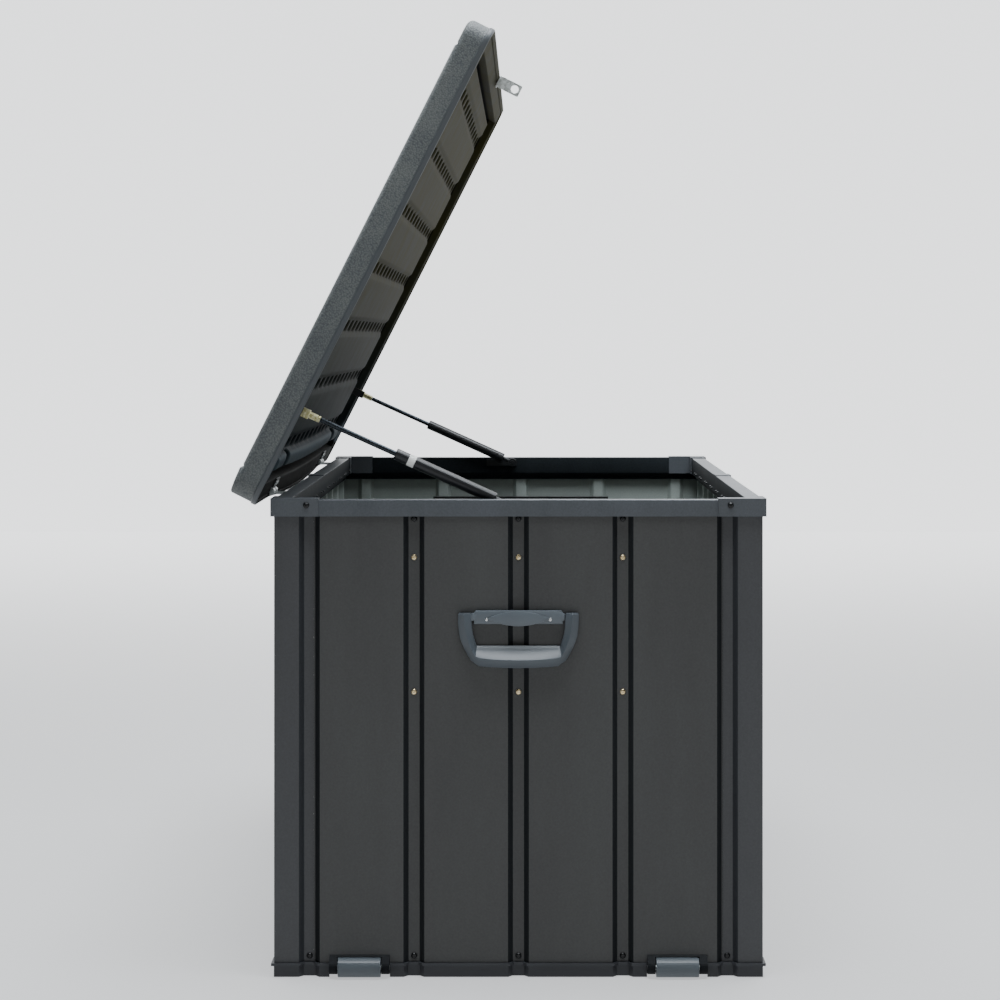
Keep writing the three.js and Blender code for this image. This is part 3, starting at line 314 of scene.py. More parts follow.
def axis_of(tree, place, axis):
    """One of the coordinates, "X", "Y" or "Z"."""
    return add_node(tree, "ShaderNodeSeparateXYZ", {0: place}, output=axis)


def noise(tree, place, size, detail, roughness=0.5):
    """Noise whose patches have this size in millimetres."""
    return add_node(tree, "ShaderNodeTexNoise", {
        "Vector": place, "Scale": per_metre(size), "Detail": detail, "Roughness": roughness}, output="Fac")


def cells(tree, place, size, output):
    """Irregular cells of this size in millimetres."""
    return add_node(tree, "ShaderNodeTexVoronoi", {
        "Vector": place, "Scale": per_metre(size)}, output=output, feature="F1")


def maths(tree, operation, *values, clamp=False):
    """The result of a sum on one or more values."""
    return add_node(tree, "ShaderNodeMath", dict(enumerate(values)), operation=operation, use_clamp=clamp)


def ramp(tree, value, start, end, low=0, high=1):
    """Low where the value is at its start, high where it's at its end."""
    return add_node(tree, "ShaderNodeMapRange", {
        "Value": value, "From Min": start, "From Max": end, "To Min": low, "To Max": high})


def mix(tree, amount, first, second):
    """Blend of two colours, each of them a hex value or a socket."""
    first, second = [linear(c) if isinstance(c, str) else c for c in (first, second)]
    return add_node(tree, "ShaderNodeMix", {
        "Factor": amount, "A": first, "B": second}, output="Result", data_type="RGBA")


def bump(tree, height, strength, depth, base=None, invert=False):
    """Relief of this depth in millimetres, on top of another relief if one is given."""
    inputs = {"Height": height, "Strength": strength, "Distance": depth * MM}
    if base:
        inputs["Normal"] = base
    return add_node(tree, "ShaderNodeBump", inputs, output="Normal", invert=invert)


def new_material(name, inputs):
    """Makes a material with its shader's fixed values; returns it, its tree and its shader."""
    material = bpy.data.materials.new(name)
    material.use_nodes = True
    tree = material.node_tree
    shader = tree.nodes["Principled BSDF"]
    for socket, value in inputs.items():
        shader.inputs[socket].default_value = value
    return material, tree, shader


def wire(tree, shader, colour, gloss, relief=None):
    """Links the sockets of a finish to its shader."""
    tree.links.new(colour, shader.inputs["Base Color"])
    tree.links.new(gloss, shader.inputs["Roughness"])
    if relief:
        tree.links.new(relief, shader.inputs["Normal"])


# ---- materials ----------------------------------------------------------------------------------
LIP_HEIGHT = 7.6  # smooth lip of the lid, above its lower edge
WORN_HALF = 1.3  # half the width of the worn strip along a post's flange


def worn_flanges(tree, place):
    """Mask of the chips along the edges of the posts' flanges."""
    edges = []
    for axis, face in (("X", WALL_X), ("Y", WALL_Y)):
        flange = (face - POST_FACE - CHANNEL_SLOPE - POST_FLANGE) * MM
        distance = maths(tree, "ABSOLUTE", axis_of(tree, place, axis))
        edges.append(maths(tree, "COMPARE", distance, flange, WORN_HALF * MM))
    chips = ramp(tree, noise(tree, place, size=7, detail=3, roughness=0.7), 0.63, 0.72)
    return maths(tree, "MULTIPLY", maths(tree, "MAXIMUM", *edges), chips)


def powder_coat(name, dark, light, roughness, worn_edges=False, shine=0.5):
    """Polyester powder coat on sheet steel: an even satin, a fine orange peel and faint clouds of dust."""
    material, tree, shader = new_material(name, {"IOR": 1.5, "Specular IOR Level": shine})
    place = object_place(tree)
    upright = add_node(tree, "ShaderNodeMapping", {"Vector": place, "Scale": (1, 1, 0.18)})
    clouds = noise(tree, upright, size=90, detail=4, roughness=0.6)
    grain = noise(tree, place, size=3, detail=2, roughness=0.7)
    amount = ramp(tree, maths(tree, "ADD", clouds, grain), 0.7, 1.3)
    colour = mix(tree, amount, dark, light)
    if worn_edges:
        colour = mix(tree, worn_flanges(tree, place), colour, "#8f9189")
    gloss = ramp(tree, clouds, 0, 1, roughness - 0.05, roughness + 0.07)
    buckle = bump(tree, noise(tree, place, size=220, detail=1), strength=1, depth=3)
    peel = bump(tree, grain, strength=0.35, depth=0.12, base=buckle)
    wire(tree, shader, colour, gloss, peel)
    return material


def moulded(name, dark, light, roughness, grain_size=1.6, shine=0.5):
    """Injection-moulded polypropylene: a dull skin with a fine spark texture and slight flow clouds."""
    material, tree, shader = new_material(name, {"IOR": 1.49, "Specular IOR Level": shine})
    place = object_place(tree)
    colour = mix(tree, noise(tree, place, size=45, detail=3), dark, light)
    grain = noise(tree, place, size=grain_size, detail=2)
    gloss = ramp(tree, grain, 0, 1, roughness - 0.06, roughness + 0.06)
    wire(tree, shader, colour, gloss, bump(tree, grain, strength=0.5, depth=0.08))
    return material


def pebbled_lid(name, dark, light):
    """Blow-moulded polyethylene with a leather grain of fine pebbles; its lip is left smooth."""
    material, tree, shader = new_material(name, {"IOR": 1.5})
    place = lid_place(tree)
    grained = ramp(tree, axis_of(tree, place, "Z"), (LIP_HEIGHT + 0.5) * MM, (LIP_HEIGHT + 3) * MM)
    pebbles = cells(tree, place, 2.7, "Distance")
    dust = noise(tree, place, size=60, detail=4, roughness=0.6)
    pale = ramp(tree, maths(tree, "ADD", pebbles, dust), 0.6, 1.35, 1, 0)
    colour = mix(tree, maths(tree, "MULTIPLY", pale, grained), dark, light)
    gloss = ramp(tree, grained, 0, 1, 0.4, 0.6)
    relief = maths(tree, "MULTIPLY", pebbles, grained)
    wire(tree, shader, colour, gloss, bump(tree, relief, strength=0.7, depth=0.7, invert=True))
    return material


def lid_inner(name, shaded_plastic, olive_reflection, crown_highlight):
    """The lid's inner skin: satin polyethylene, blue-grey and in painted shade by the hinges, under a patchy
    painted olive reflection of the surroundings further out.

    It's nearly black down in the pits and behind the rib, which is painted shade, and paler on the rib's crown,
    which is a painted highlight.
    """
    material, tree, shader = new_material(name, {"IOR": 1.5, "Specular IOR Level": 0.02})
    place = lid_place(tree)
    across = axis_of(tree, place, "Y")
    height = axis_of(tree, place, "Z")
    clouds = noise(tree, place, size=60, detail=4, roughness=0.6)
    # painted olive reflection of the surroundings, stronger away from the hinges and in patches
    outward = ramp(tree, across, -70 * MM, -400 * MM)
    patchy = ramp(tree, clouds, 0.3, 0.7, 0.6, 1)
    reflection_tint = mix(tree, maths(tree, "MULTIPLY", outward, patchy), shaded_plastic, olive_reflection)
    # painted highlight: the rib's crown by the hinges is paler
    low = ramp(tree, height, 8 * MM, 3 * MM)
    by_hinge = ramp(tree, across, -80 * MM, -70 * MM)
    crown = mix(tree, maths(tree, "MULTIPLY", low, by_hinge), reflection_tint, crown_highlight)
    # painted shade: nearly black down in the pits and behind the rib
    pit = ramp(tree, height, 14.6 * MM, 18 * MM)
    behind_rib = ramp(tree, across, -36 * MM, -32 * MM)
    colour = mix(tree, maths(tree, "MAXIMUM", pit, behind_rib, clamp=True), crown, "#060706")
    gloss = ramp(tree, clouds, 0, 1, 0.6, 0.75)
    grain = noise(tree, place, size=2.2, detail=2)
    wire(tree, shader, colour, gloss, bump(tree, grain, strength=0.3, depth=0.12))
    return material


def plated(name, dark, light, roughness, spangle=5.0):
    """Plated steel: a bright metal with crystals of slightly different sheen."""
    material, tree, shader = new_material(name, {"Metallic": 1})
    place = object_place(tree)
    crystals = cells(tree, place, spangle, "Color")
    sheen = add_node(tree, "ShaderNodeSeparateColor", {"Color": crystals}, output="Red")
    colour = mix(tree, sheen, dark, light)
    gloss = ramp(tree, sheen, 0, 1, roughness - 0.08, roughness + 0.08)
    scratches = noise(tree, place, size=0.8, detail=2)
    wire(tree, shader, colour, gloss, bump(tree, scratches, strength=0.2, depth=0.05))
    return material


def enamelled(name, dark, light, roughness):
    """Black stove enamel on steel: a smooth deep gloss with a little dust."""
    material, tree, shader = new_material(name, {"IOR": 1.52, "Specular IOR Level": 0.4})
    dust = noise(tree, object_place(tree), size=14, detail=4, roughness=0.7)
    colour = mix(tree, dust, dark, light)
    gloss = ramp(tree, dust, 0, 1, roughness - 0.05, roughness + 0.1)
    wire(tree, shader, colour, gloss)
    return material


wall_coat = powder_coat("anthracite_powder_coat_wall", "#353535", "#3f403f", 0.5)
post_coat = powder_coat("anthracite_powder_coat_post", "#363739", "#404143", 0.48, worn_edges=True)
# painted shade: the channels' sloping flanks are darker and have little sheen
flank_painted_shade = powder_coat("anthracite_powder_coat_flank", "#1b1d1f", "#232527", 0.6, shine=0.1)
post_flank_painted_shade = powder_coat("anthracite_powder_coat_post_flank", "#282a2d", "#303235", 0.6, shine=0.2)
back_coat = powder_coat("grey_backing_coat", "#8e9692", "#9ca49f", 0.55)
rail_coat = powder_coat("anthracite_powder_coat_rail", "#3f4347", "#4b4f54", 0.42)
# painted shade: the rails' insides are darker and have almost no sheen
rail_inner_painted_shade = powder_coat("anthracite_powder_coat_rail_inner", "#1a1e20", "#24282b", 0.6, shine=0.03)
tray_plastic = moulded("polypropylene_tray", "#2b2d31", "#35373b", 0.55)
roller_plastic = moulded("polypropylene_roller", "#4a5156", "#565e64", 0.42)
handle_plastic = moulded("polypropylene_handle", "#43494e", "#4e555b", 0.4, grain_size=1.2)
lid_outer = pebbled_lid("pebbled_polyethylene_lid", "#3f4346", "#5c605e")
# the inner skin's colours hold painted shade, a painted olive reflection and a painted highlight
lid_skin = lid_inner("inner_skin_polyethylene", "#262c30", "#38351e", "#454e54")
bracket_plastic = moulded("polypropylene_bracket", "#545b61", "#5f676d", 0.4, grain_size=1.2)
# painted shade: the roller housings are darker than the tray, with little sheen, where they sit in the wall's
# notch
housing_painted_shade = moulded("polypropylene_housing", "#131517", "#1a1c1f", 0.6, shine=0.1)
hinge_zinc = plated("galvanised_hinge", "#7f8483", "#b4baba", 0.42)
bracket_black = enamelled("black_enamel_bracket", "#0f1113", "#1a1d20", 0.45)
tube_black = enamelled("black_enamel_strut", "#0a0c0f", "#12151a", 0.3)
rod_steel = plated("nitrided_rod_steel", "#1f2326", "#383d42", 0.3, spangle=2)
yellow_zinc = plated("yellow_zinc_socket", "#a9a36c", "#dcd9b4", 0.35, spangle=3)
galvanised = plated("galvanised_steel", "#a5abaa", "#d9dedd", 0.38)
bright_zinc = plated("bright_zinc_fastener", "#b9bcbc", "#eef0f0", 0.25, spangle=2)
gold_rivet = plated("yellow_zinc_rivet", "#d0b988", "#f8e8c4", 0.3, spangle=2)
black_screw = enamelled("black_oxide_screw", "#08090a", "#111315", 0.28)
white_band = moulded("white_vinyl_band", "#d9dbd8", "#e8eae6", 0.45)

# face, its back, then a channel's flank in a darker coat of painted shade, and its back
WALL_COATS = (wall_coat, back_coat, flank_painted_shade, back_coat)
POST_COATS = (post_coat, back_coat, post_flank_painted_shade, back_coat)
FLANK_SHADE = 2
# the rail's outside and top, then its inside, which takes a darker coat of painted shade
RAIL_COATS = (rail_coat, rail_inner_painted_shade)
RAIL_INSIDE_SHADE = 1


# ---- corrugated walls and corner posts ----------------------------------------------------------
def channel_middles(half):
    """Middles of the channels along a wall of this half length, its corner channels included."""
    reach = 2 * (half - CORNER_CHANNEL)
    count = max(1, round(reach / CHANNEL_SPACING))
    return [-half + CORNER_CHANNEL + k * reach / count for k in range(count + 1)]


def channel(middle):
    """(along, depth) corners of one channel."""
    half = CHANNEL_FLOOR / 2
    return [(middle - half - CHANNEL_SLOPE, 0), (middle - half, CHANNEL_DEPTH),
            (middle + half, CHANNEL_DEPTH), (middle + half + CHANNEL_SLOPE, 0)]


def wall_line(half):
    """(along, depth) line of a wall's face; its ends lie behind the posts' flanges."""
    middles = channel_middles(half)
    first, last = middles[0], middles[-1]
    near = CHANNEL_FLOOR / 2
    far = near + CHANNEL_SLOPE
    line = [(first - near + WALL_END, LAPPED_DEPTH), (first + near, LAPPED_DEPTH), (first + far, 0)]
    for middle in middles[1:-1]:
        line += channel(middle)
    return line + [(last - far, 0), (last - near, LAPPED_DEPTH), (last + near - WALL_END, LAPPED_DEPTH)]


def shade_flanks(bm):
    """Gives the sloping flanks of the channels a darker coat, which is painted shade."""
    for face in bm.faces:
        centre = face.calc_center_median()
        at_corner = WALL_X - abs(centre.x) < 2 * FOLD and WALL_Y - abs(centre.y) < 2 * FOLD
        sloping = max(abs(face.normal.x), abs(face.normal.y)) < FLANK_NORMAL
        if sloping and not at_corner:
            face.material_index = FLANK_SHADE


def notch_for_rollers(bm):
    """Cuts the wall's lower edge away over the two roller housings."""
    head = HOUSING_HEAD + GAP
    half = HOUSING_HALF + GAP
    cut(bm, (0, 0, head), (0, 0, 1))
    for side in (-1, 1):
        for edge in (-half, half):
            cut(bm, (0, side * ROLLER_OFFSET + edge, 0), (0, 1, 0))
    inside = [face for face in bm.faces if face.calc_center_median().z < head
              and abs(abs(face.calc_center_median().y) - ROLLER_OFFSET) < half]
    bmesh.ops.delete(bm, geom=inside, context="FACES")


def stand_sheet(name, points, outward, coats, node, fold=FOLD, notched=False):
    """A folded wall or post sheet, in place of the solid of that node."""
    bm = folded_sheet(points, WALL_HEAD - WALL_FOOT, outward, fold)
    bmesh.ops.translate(bm, vec=(0, 0, WALL_FOOT), verts=bm.verts[:])
    if notched:
        notch_for_rollers(bm)
    shade_flanks(bm)
    add_piece(name, bm, coats, "box", [node], sheet=SHEET, backed=True)


def end_walls():
    """The two corrugated end walls; the left one is cut out for the roller housings."""
    for end, sign in ENDS.items():
        line = [(sign * (WALL_X - depth), along) for along, depth in wall_line(WALL_Y)]
        stand_sheet(f"end_wall_sheet_{end}", line, (sign, 0, 0), WALL_COATS,
                    f"end_wall_{end}", notched=sign < 0)


def long_walls():
    """Front and rear walls, each in two sheets that lap at mid-length."""
    clear = WALL_LAP / 2
    lap = SHEET + GAP
    for face, side in SIDES.items():
        for end, sign in ENDS.items():
            points = [point for point in wall_line(WALL_X) if point[0] * sign > clear]
            fold = FOLD
            if sign < 0:
                points = points + [(clear, 0)]
            else:
                points = [(-clear, lap), (clear, lap), (clear + 2 * lap, 0)] + points
                fold = lap / 2
            line = [(along, side * (WALL_Y - depth)) for along, depth in points]
            stand_sheet(f"{face}_wall_sheet_{end}", line, (0, side, 0), WALL_COATS,
                        f"{face}_wall_{end}", fold=fold)


def corner_posts():
    """Folded corner posts whose flanges lie in the walls' first channels."""
    shoulder = POST_FACE + CHANNEL_SLOPE
    flange = shoulder + POST_FLANGE
    line = [(flange, CHANNEL_DEPTH), (shoulder, CHANNEL_DEPTH), (POST_FACE, 0), (0, 0),
            (0, POST_FACE), (CHANNEL_DEPTH, shoulder), (CHANNEL_DEPTH, flange)]
    for face, side in SIDES.items():
        for end, sign in ENDS.items():
            points = [(sign * (WALL_X - b), side * (WALL_Y - a)) for a, b in line]
            stand_sheet(f"post_sheet_{face}_{end}", points, (sign, side, 0), POST_COATS,
                        f"corner_post_{face}_{end}")


# ---- rim rails ----------------------------------------------------------------------------------
def rail_sheet(start, end, mitred):
    """A rail along X whose outer face is y = 0 and whose inside is +Y; `mitred` lists its mitred ends."""
    wall = WALL_INSET + LAPPED_DEPTH + SHEET + GAP + RAIL_SHEET
    low = RIM_Z - RAIL_INNER - RAIL_FOLD
    line = [(0, RIM_Z - RAIL_OUTER), (0, RIM_Z), (RAIL_TOP, RIM_Z), (RAIL_TOP, RIM_Z - RAIL_INNER),
            (wall, low), (wall, low - RAIL_RETURN)]
    bm = folded_sheet(line, end - start, (0, 1, 0), RAIL_ROUND)
    bm.transform(Matrix(((0, 0, 1, start), (1, 0, 0, 0), (0, 1, 0, 0), (0, 0, 0, 1))))
    for corner in mitred:
        outward = math.copysign(1, corner)
        cut(bm, (corner - outward * GAP / 2, 0, 0), (outward, 1, 0), clear=True)
    face_towards(bm, UP)
    # the inner leg, its fold and its foot take the darker coat of painted shade
    for face in bm.faces:
        centre = face.calc_center_median()
        leg = face.normal.y > LOOKS_IN or centre.y > RAIL_TOP - LEG_EDGE
        foot = face.normal.y > LOOKS_OUT and centre.z < RIM_Z - RAIL_ROUND
        if leg or foot:
            face.material_index = RAIL_INSIDE_SHADE
    return bm


def rim_rails():
    """The six folded rails that cap the walls, mitred at the corners."""
    for end, sign in ENDS.items():
        bm = rail_sheet(-SIDE_Y, SIDE_Y, (-SIDE_Y, SIDE_Y))
        place = Matrix.Translation((sign * END_X, 0, 0)) @ Matrix.Rotation(sign * math.pi / 2, 4, "Z")
        add_piece(f"end_rail_sheet_{end}", bm, RAIL_COATS, "box", [f"end_rail_{end}"],
                  place=place, sheet=RAIL_SHEET)
        for face, side in SIDES.items():
            local = sign if side < 0 else -sign
            bm = rail_sheet(*sorted((local * GAP, local * END_X)), (local * END_X,))
            turn = 0 if side < 0 else math.pi
            place = Matrix.Translation((0, side * SIDE_Y, 0)) @ Matrix.Rotation(turn, 4, "Z")
            add_piece(f"{face}_rail_sheet_{end}", bm, RAIL_COATS, "box",
                      [f"{face}_rail_{end}"], place=place, sheet=RAIL_SHEET)


# ---- lid: heights are over its lower edge, and its reach counts forward from the hinge axis -------
LID_HALF = 778
LID_FRONT = 788.5
LID_BACK = 11.5
LID_HEIGHT = 43.5
LID_CORNER = 30
LID_ROUND = 10
REAR_ROUND = 3.5
LIP_STEP = 1.8
LIP_ROUND = 2.4
OUTER_SHEET = 3.4
GROOVE_EDGE = 46
GROOVE_HALF = 3.5
GROOVE_DEPTH = 3
REAR_CROWN = 2.2  # the strip behind the rear groove stands up by this at the groove
FRONT_STEP = 1.2  # the strip before the front groove lies lower by this
REAR_BOW = 8  # the rear edge sags by this between the hinges, less and less over the bow's reach
BOW_REACH = 170
BOW_DROP = 0.6  # share of the sag by which the rear edge also hangs down, over the drop's reach
BOW_DROP_REACH = 25
BOW_CUTS = 4  # cuts between mid-length and a hinge


def lid_loop(bm, z, end, front, back, radius):
    """Wire loop of the lid's outline at a height, inset at its ends, front and back."""
    low = (-LID_HALF + end, -LID_FRONT + front)
    high = (LID_HALF - end, LID_BACK - back)
    return rounded_loop(bm, low, high, z, radius)


def cut_for_bow(bm):
    """Cuts the long faces of the lid across, so that they can sag."""
    for step in range(-BOW_CUTS, BOW_CUTS + 1):
        cut(bm, (step * HINGE_X / BOW_CUTS, 0, 0), (1, 0, 0))


def bow(bm):
    """Lets the rear part of the lid sag a little between its two hinges."""
    for vert in bm.verts:
        reach = -vert.co.y
        between = max(0, 1 - (vert.co.x / HINGE_X) ** 2)
        vert.co.y += REAR_BOW * between * (1 - smooth(reach, 0, BOW_REACH))
        vert.co.z -= BOW_DROP * REAR_BOW * between * (1 - smooth(reach, -LID_BACK, BOW_DROP_REACH))


def outer_levels():
    """(height, inset at ends and front, inset at the back) of the outer skin, from lip to top."""
    bend = 0.3 * LIP_ROUND
    levels = [(0, LIP_ROUND, LIP_ROUND), (bend, bend, bend), (LIP_ROUND, 0, 0),
              (LIP_HEIGHT, 0, 0), (LIP_HEIGHT + LIP_STEP, LIP_STEP, LIP_STEP)]
    steps = 7
    for k in range(steps + 1):
        angle = math.pi / 2 * k / steps
        below = LID_ROUND * (1 - math.sin(angle))
        rear = max(0, 1 - below / REAR_ROUND)
        levels.append((LID_HEIGHT - below, LIP_STEP + LID_ROUND * (1 - math.cos(angle)),
                       LIP_STEP + REAR_ROUND * (1 - (1 - rear ** 2) ** 0.5)))
    return levels


def lid_outer_skin():
    """The pebbled outer skin with its smooth lip and the two grooves along it."""
    bm = bmesh.new()
    loops = [lid_loop(bm, z, inset, inset, back, LID_CORNER - inset) for z, inset, back in outer_levels()]
    loft(bm, loops)
    fill(bm, loops[-1])
    cut_for_bow(bm)
    rear, front = LID_BACK - GROOVE_EDGE, -LID_FRONT + GROOVE_EDGE
    for middle in (rear, front):
        for y in (middle - GROOVE_HALF, middle, middle + GROOVE_HALF):
            cut(bm, (0, y, 0), (0, 1, 0))
    for vert in bm.verts:
        upper = smooth(vert.co.z, LID_HEIGHT / 2, LID_HEIGHT)
        behind = vert.co.y - rear - GROOVE_HALF
        if any(abs(vert.co.y - middle) < CLOSE for middle in (rear, front)):
            vert.co.z = min(vert.co.z, LID_HEIGHT - GROOVE_DEPTH)
        elif behind > -CLOSE:
            vert.co.z += REAR_CROWN * upper * (1 - smooth(behind, 0, GROOVE_EDGE - GROOVE_HALF))
        elif vert.co.y < front - GROOVE_HALF + CLOSE:
            vert.co.z -= FRONT_STEP * upper
    bow(bm)
    face_towards(bm, UP)
    add_piece("lid_outer_skin", bm, (lid_outer,), "lid", ["lid_shell"],
              place=LID_PLACE, sharp=40, sheet=OUTER_SHEET)


# heights of the inner skin: around the plateau, on it, and on the bands between the rows of pits;
# an EASE is the width of a slope between two of them
FIELD = 25
PLATEAU = 14
BAND = 11
PLATEAU_START = 58
PLATEAU_END = 744.5
PLATEAU_EASE = 5
BAND_END = 650
BAND_EASE = 9
END_EASE = 6
ROW_HALF = 19
LEDGE = 0.8  # height of a slight ridge behind each row of pits
LEDGE_START = 11
LEDGE_END = 15
LEDGE_EASE = 1.5
PIT_FIRST = 78.5
PIT_PITCH = 103
PIT_ROWS = 7
PIT_SPACING = 100
PIT_HALF_LENGTH = 29
PIT_HALF_WIDTH = 9
PIT_DEPTH = 19
PIT_WALL = 0.3  # share of the pit's shape that its sloping wall takes
PIT_SLANT = 0.55  # share of its depth that the pit loses towards the hinges
PIT_CLEAR = 20  # kept from the bands' ends
RIB_START = 36
RIB_END = 67
RIB_REACH = 683
RIB_LEVEL = 1.5
RIB_NOTCH = 30  # half the rib's gap at a hinge
GRID_COLUMNS = 292
GRID_ROWS = 290
INNER_HEAD = 39.5  # where the inner skin's sides end, under the outer skin
# the rim round the inner skin
RIM_END = 45
RIM_FRONT = 34.5
RIM_BACK = 34
RIM_SHEET = 2.4
# (height, inset at the ends, front and back, corner radius), from the drip lip to the skirt's head
RIM_LEVELS = [
    (4, 3.8, 3.8, 3.8, 26.2), (0, 3.8, 3.8, 3.8, 26.2), (0.2, 15, 11, 7, 12), (2.2, 15.6, 11.6, 7.6, 11.4),
    (2.4, RIM_END - 3, RIM_FRONT - 3, RIM_BACK - 3, 7),
    (3.1, RIM_END - 0.8, RIM_FRONT - 0.8, RIM_BACK - 0.8, 5),
    (5.2, RIM_END, RIM_FRONT, RIM_BACK, 4), (26, RIM_END, RIM_FRONT, RIM_BACK, 4)]


def inner_level(x, reach):
    """Height of the inner skin at a place."""
    along = abs(x)
    plateau = 1 - smooth(along, BAND_END - END_EASE, BAND_END + END_EASE)
    plateau *= smooth(reach, PLATEAU_START, PLATEAU_START + PLATEAU_EASE)
    plateau *= 1 - smooth(reach, PLATEAU_END - PLATEAU_EASE, PLATEAU_END)
    level = FIELD + (PLATEAU - FIELD) * plateau
    row = min(max(round((reach - PIT_FIRST) / PIT_PITCH), 0), PIT_ROWS - 1)
    offset = reach - (PIT_FIRST + row * PIT_PITCH)
    in_band = smooth(abs(offset), ROW_HALF - BAND_EASE, ROW_HALF)
    if offset < 0 and row == 0:
        in_band = 0
    level += (BAND - PLATEAU) * in_band * plateau
    ledge = smooth(-offset, LEDGE_START, LEDGE_START + LEDGE_EASE)
    ledge -= smooth(-offset, LEDGE_END - LEDGE_EASE, LEDGE_END)
    level -= LEDGE * ledge * plateau
    slot = ((x / PIT_SPACING + 0.5) % 1 - 0.5) * PIT_SPACING
    if along < BAND_END - PIT_CLEAR:
        inside = 1 - (abs(slot) / PIT_HALF_LENGTH) ** 4 - (abs(offset) / PIT_HALF_WIDTH) ** 4
        slant = 1 - PIT_SLANT * smooth(-offset, 0, PIT_HALF_WIDTH)
        level += PIT_DEPTH * smooth(inside, 0, PIT_WALL) * slant
    across = (reach - (RIB_START + RIB_END) / 2) / ((RIB_END - RIB_START) / 2)
    rib = max(0, 1 - across ** 4) ** 0.5 * (1 - smooth(along, RIB_REACH - END_EASE, RIB_REACH))
    rib *= smooth(abs(along - HINGE_X), RIB_NOTCH, RIB_NOTCH + END_EASE)
    return level + (RIB_LEVEL - level) * rib


def lid_inner_skin():
    """The inner skin: raised bands, seven rows of pits, and a rounded rib along the hinge side."""
    half = LID_HALF - RIM_END
    back, front = RIM_BACK - LID_BACK, LID_FRONT - RIM_FRONT
    bm = bmesh.new()
    bmesh.ops.create_grid(bm, x_segments=GRID_COLUMNS, y_segments=GRID_ROWS, size=0.5)
    for vert in bm.verts:
        x = vert.co.x * 2 * half
        reach = back + (vert.co.y + 0.5) * (front - back)
        vert.co = (x, -reach, inner_level(x, reach))
    rim = [edge for edge in bm.edges if edge.is_boundary]
    for item in bmesh.ops.extrude_edge_only(bm, edges=rim)["geom"]:
        if isinstance(item, bmesh.types.BMVert):
            item.co.z = INNER_HEAD
    fill(bm, [edge for edge in bm.edges if edge.is_boundary])
    bmesh.ops.recalc_face_normals(bm, faces=bm.faces[:])
    bow(bm)
    add_piece("lid_inner_skin", bm, (lid_skin,), "lid", ["lid_liner"],
              place=LID_PLACE, sharp=80)


def lid_rim():
    """The inner skin's rim: a drip lip outside the rails, a flat over them and the skirt inside."""
    bm = bmesh.new()
    loft(bm, [lid_loop(bm, *level) for level in RIM_LEVELS])
    cut_for_bow(bm)
    bow(bm)
    face_towards(bm, -UP)
    add_piece("lid_inner_rim", bm, (lid_skin,), "lid",
              place=LID_PLACE, sharp=50, sheet=RIM_SHEET)


# ---- handles ------------------------------------------------------------------------------------
PIVOT_X = -joints["handle_swing_right"]["pos_m"][0] / MM
PIVOT_Z = joints["handle_swing_right"]["pos_m"][2] / MM
BAIL_BACK = PIVOT_X + 6 - GAP  # the bail's flat back
ARM_DEEP = 12
GRIP_DEEP = 18.7
# one half of the bail: its outer edge, the ridge of its front and its inner edge, as (y, z), and its depth
BAIL_STATIONS = [
    ((88.8, 5.8), (80.5, 5.8), (71.2, 5.8), 10.5), ((90.5, 3.5), (81, 3.5), (70.2, 3.5), ARM_DEEP),
    ((90.3, -9), (80.2, -9), (69.7, -9), ARM_DEEP), ((89.6, -18), (79, -19), (69.3, -18), 12.4),
    ((88, -29), (76.5, -30), (67.6, -27.7), 13.2), ((85, -38.5), (73.5, -39), (65, -36), 14.2),
    ((81, -47.2), (70.5, -47.2), (63.2, -41.5), 15.4), ((76.5, -56), (67.2, -53.5), (62.6, -43), 16.6),
    ((70.5, -65.3), (64, -59), (62, -43.3), 17.6), ((59, -73.2), (57.5, -61), (56.5, -43.3), 18.4),
    ((40, -75), (39, -63.3), (38.5, -43.3), GRIP_DEEP), ((20, -75.9), (19.5, -64.4), (19, -43.3), GRIP_DEEP),
    ((0, -76.2), (0, -64.8), (0, -43.3), GRIP_DEEP)]
# across the bail: share of its depth, and place from the outer edge (0) over the ridge (1) to the inner (2)
BAIL_FRONT = [(0, 0.0), (0.5, 0.0), (0.58, 0.06), (0.95, 0.88), (0.99, 0.96), (1, 1.0), (0.98, 1.06)]
# behind the ridge: the place, and the share of the depth there on an arm and on the grip
BAIL_REAR = [(1.25, 0.93, 0.74), (1.5, 0.86, 0.5), (1.75, 0.78, 0.31), (1.94, 0.7, 0.2), (2.0, 0.6, 0.13)]
# the bracket, around its pivot
BRACKET_PLATE = [(-66.9, -10.6), (66.9, -10.6), (66.9, 6.4), (63.8, 9.5), (-63.8, 9.5), (-66.9, 6.4)]
BRACKET_DEEP = 9
BRACKET_BEVEL = 2.4
LENS_HALF = 48
LENS_STEPS = 12
LENS_MIDDLE = -2.4
LENS_RISE = 11.2
LENS_DEEP = 11.3
LENS_BEVEL = 0.9
EAR_LOW = (-5, -5.5, 1)
EAR_HIGH = (3.2, 5.5, 9.5)
EAR_AT = 66
EAR_BEVEL = 1.5
BRACKET_SCREW = (47.5, -3.8)
BRACKET_BOLT = [(0, 0.6), (1.1, 0.6), (1.3, 2.0), (2.2, 1.8), (2.9, 0.9), (3.1, 0), (0, 0)]


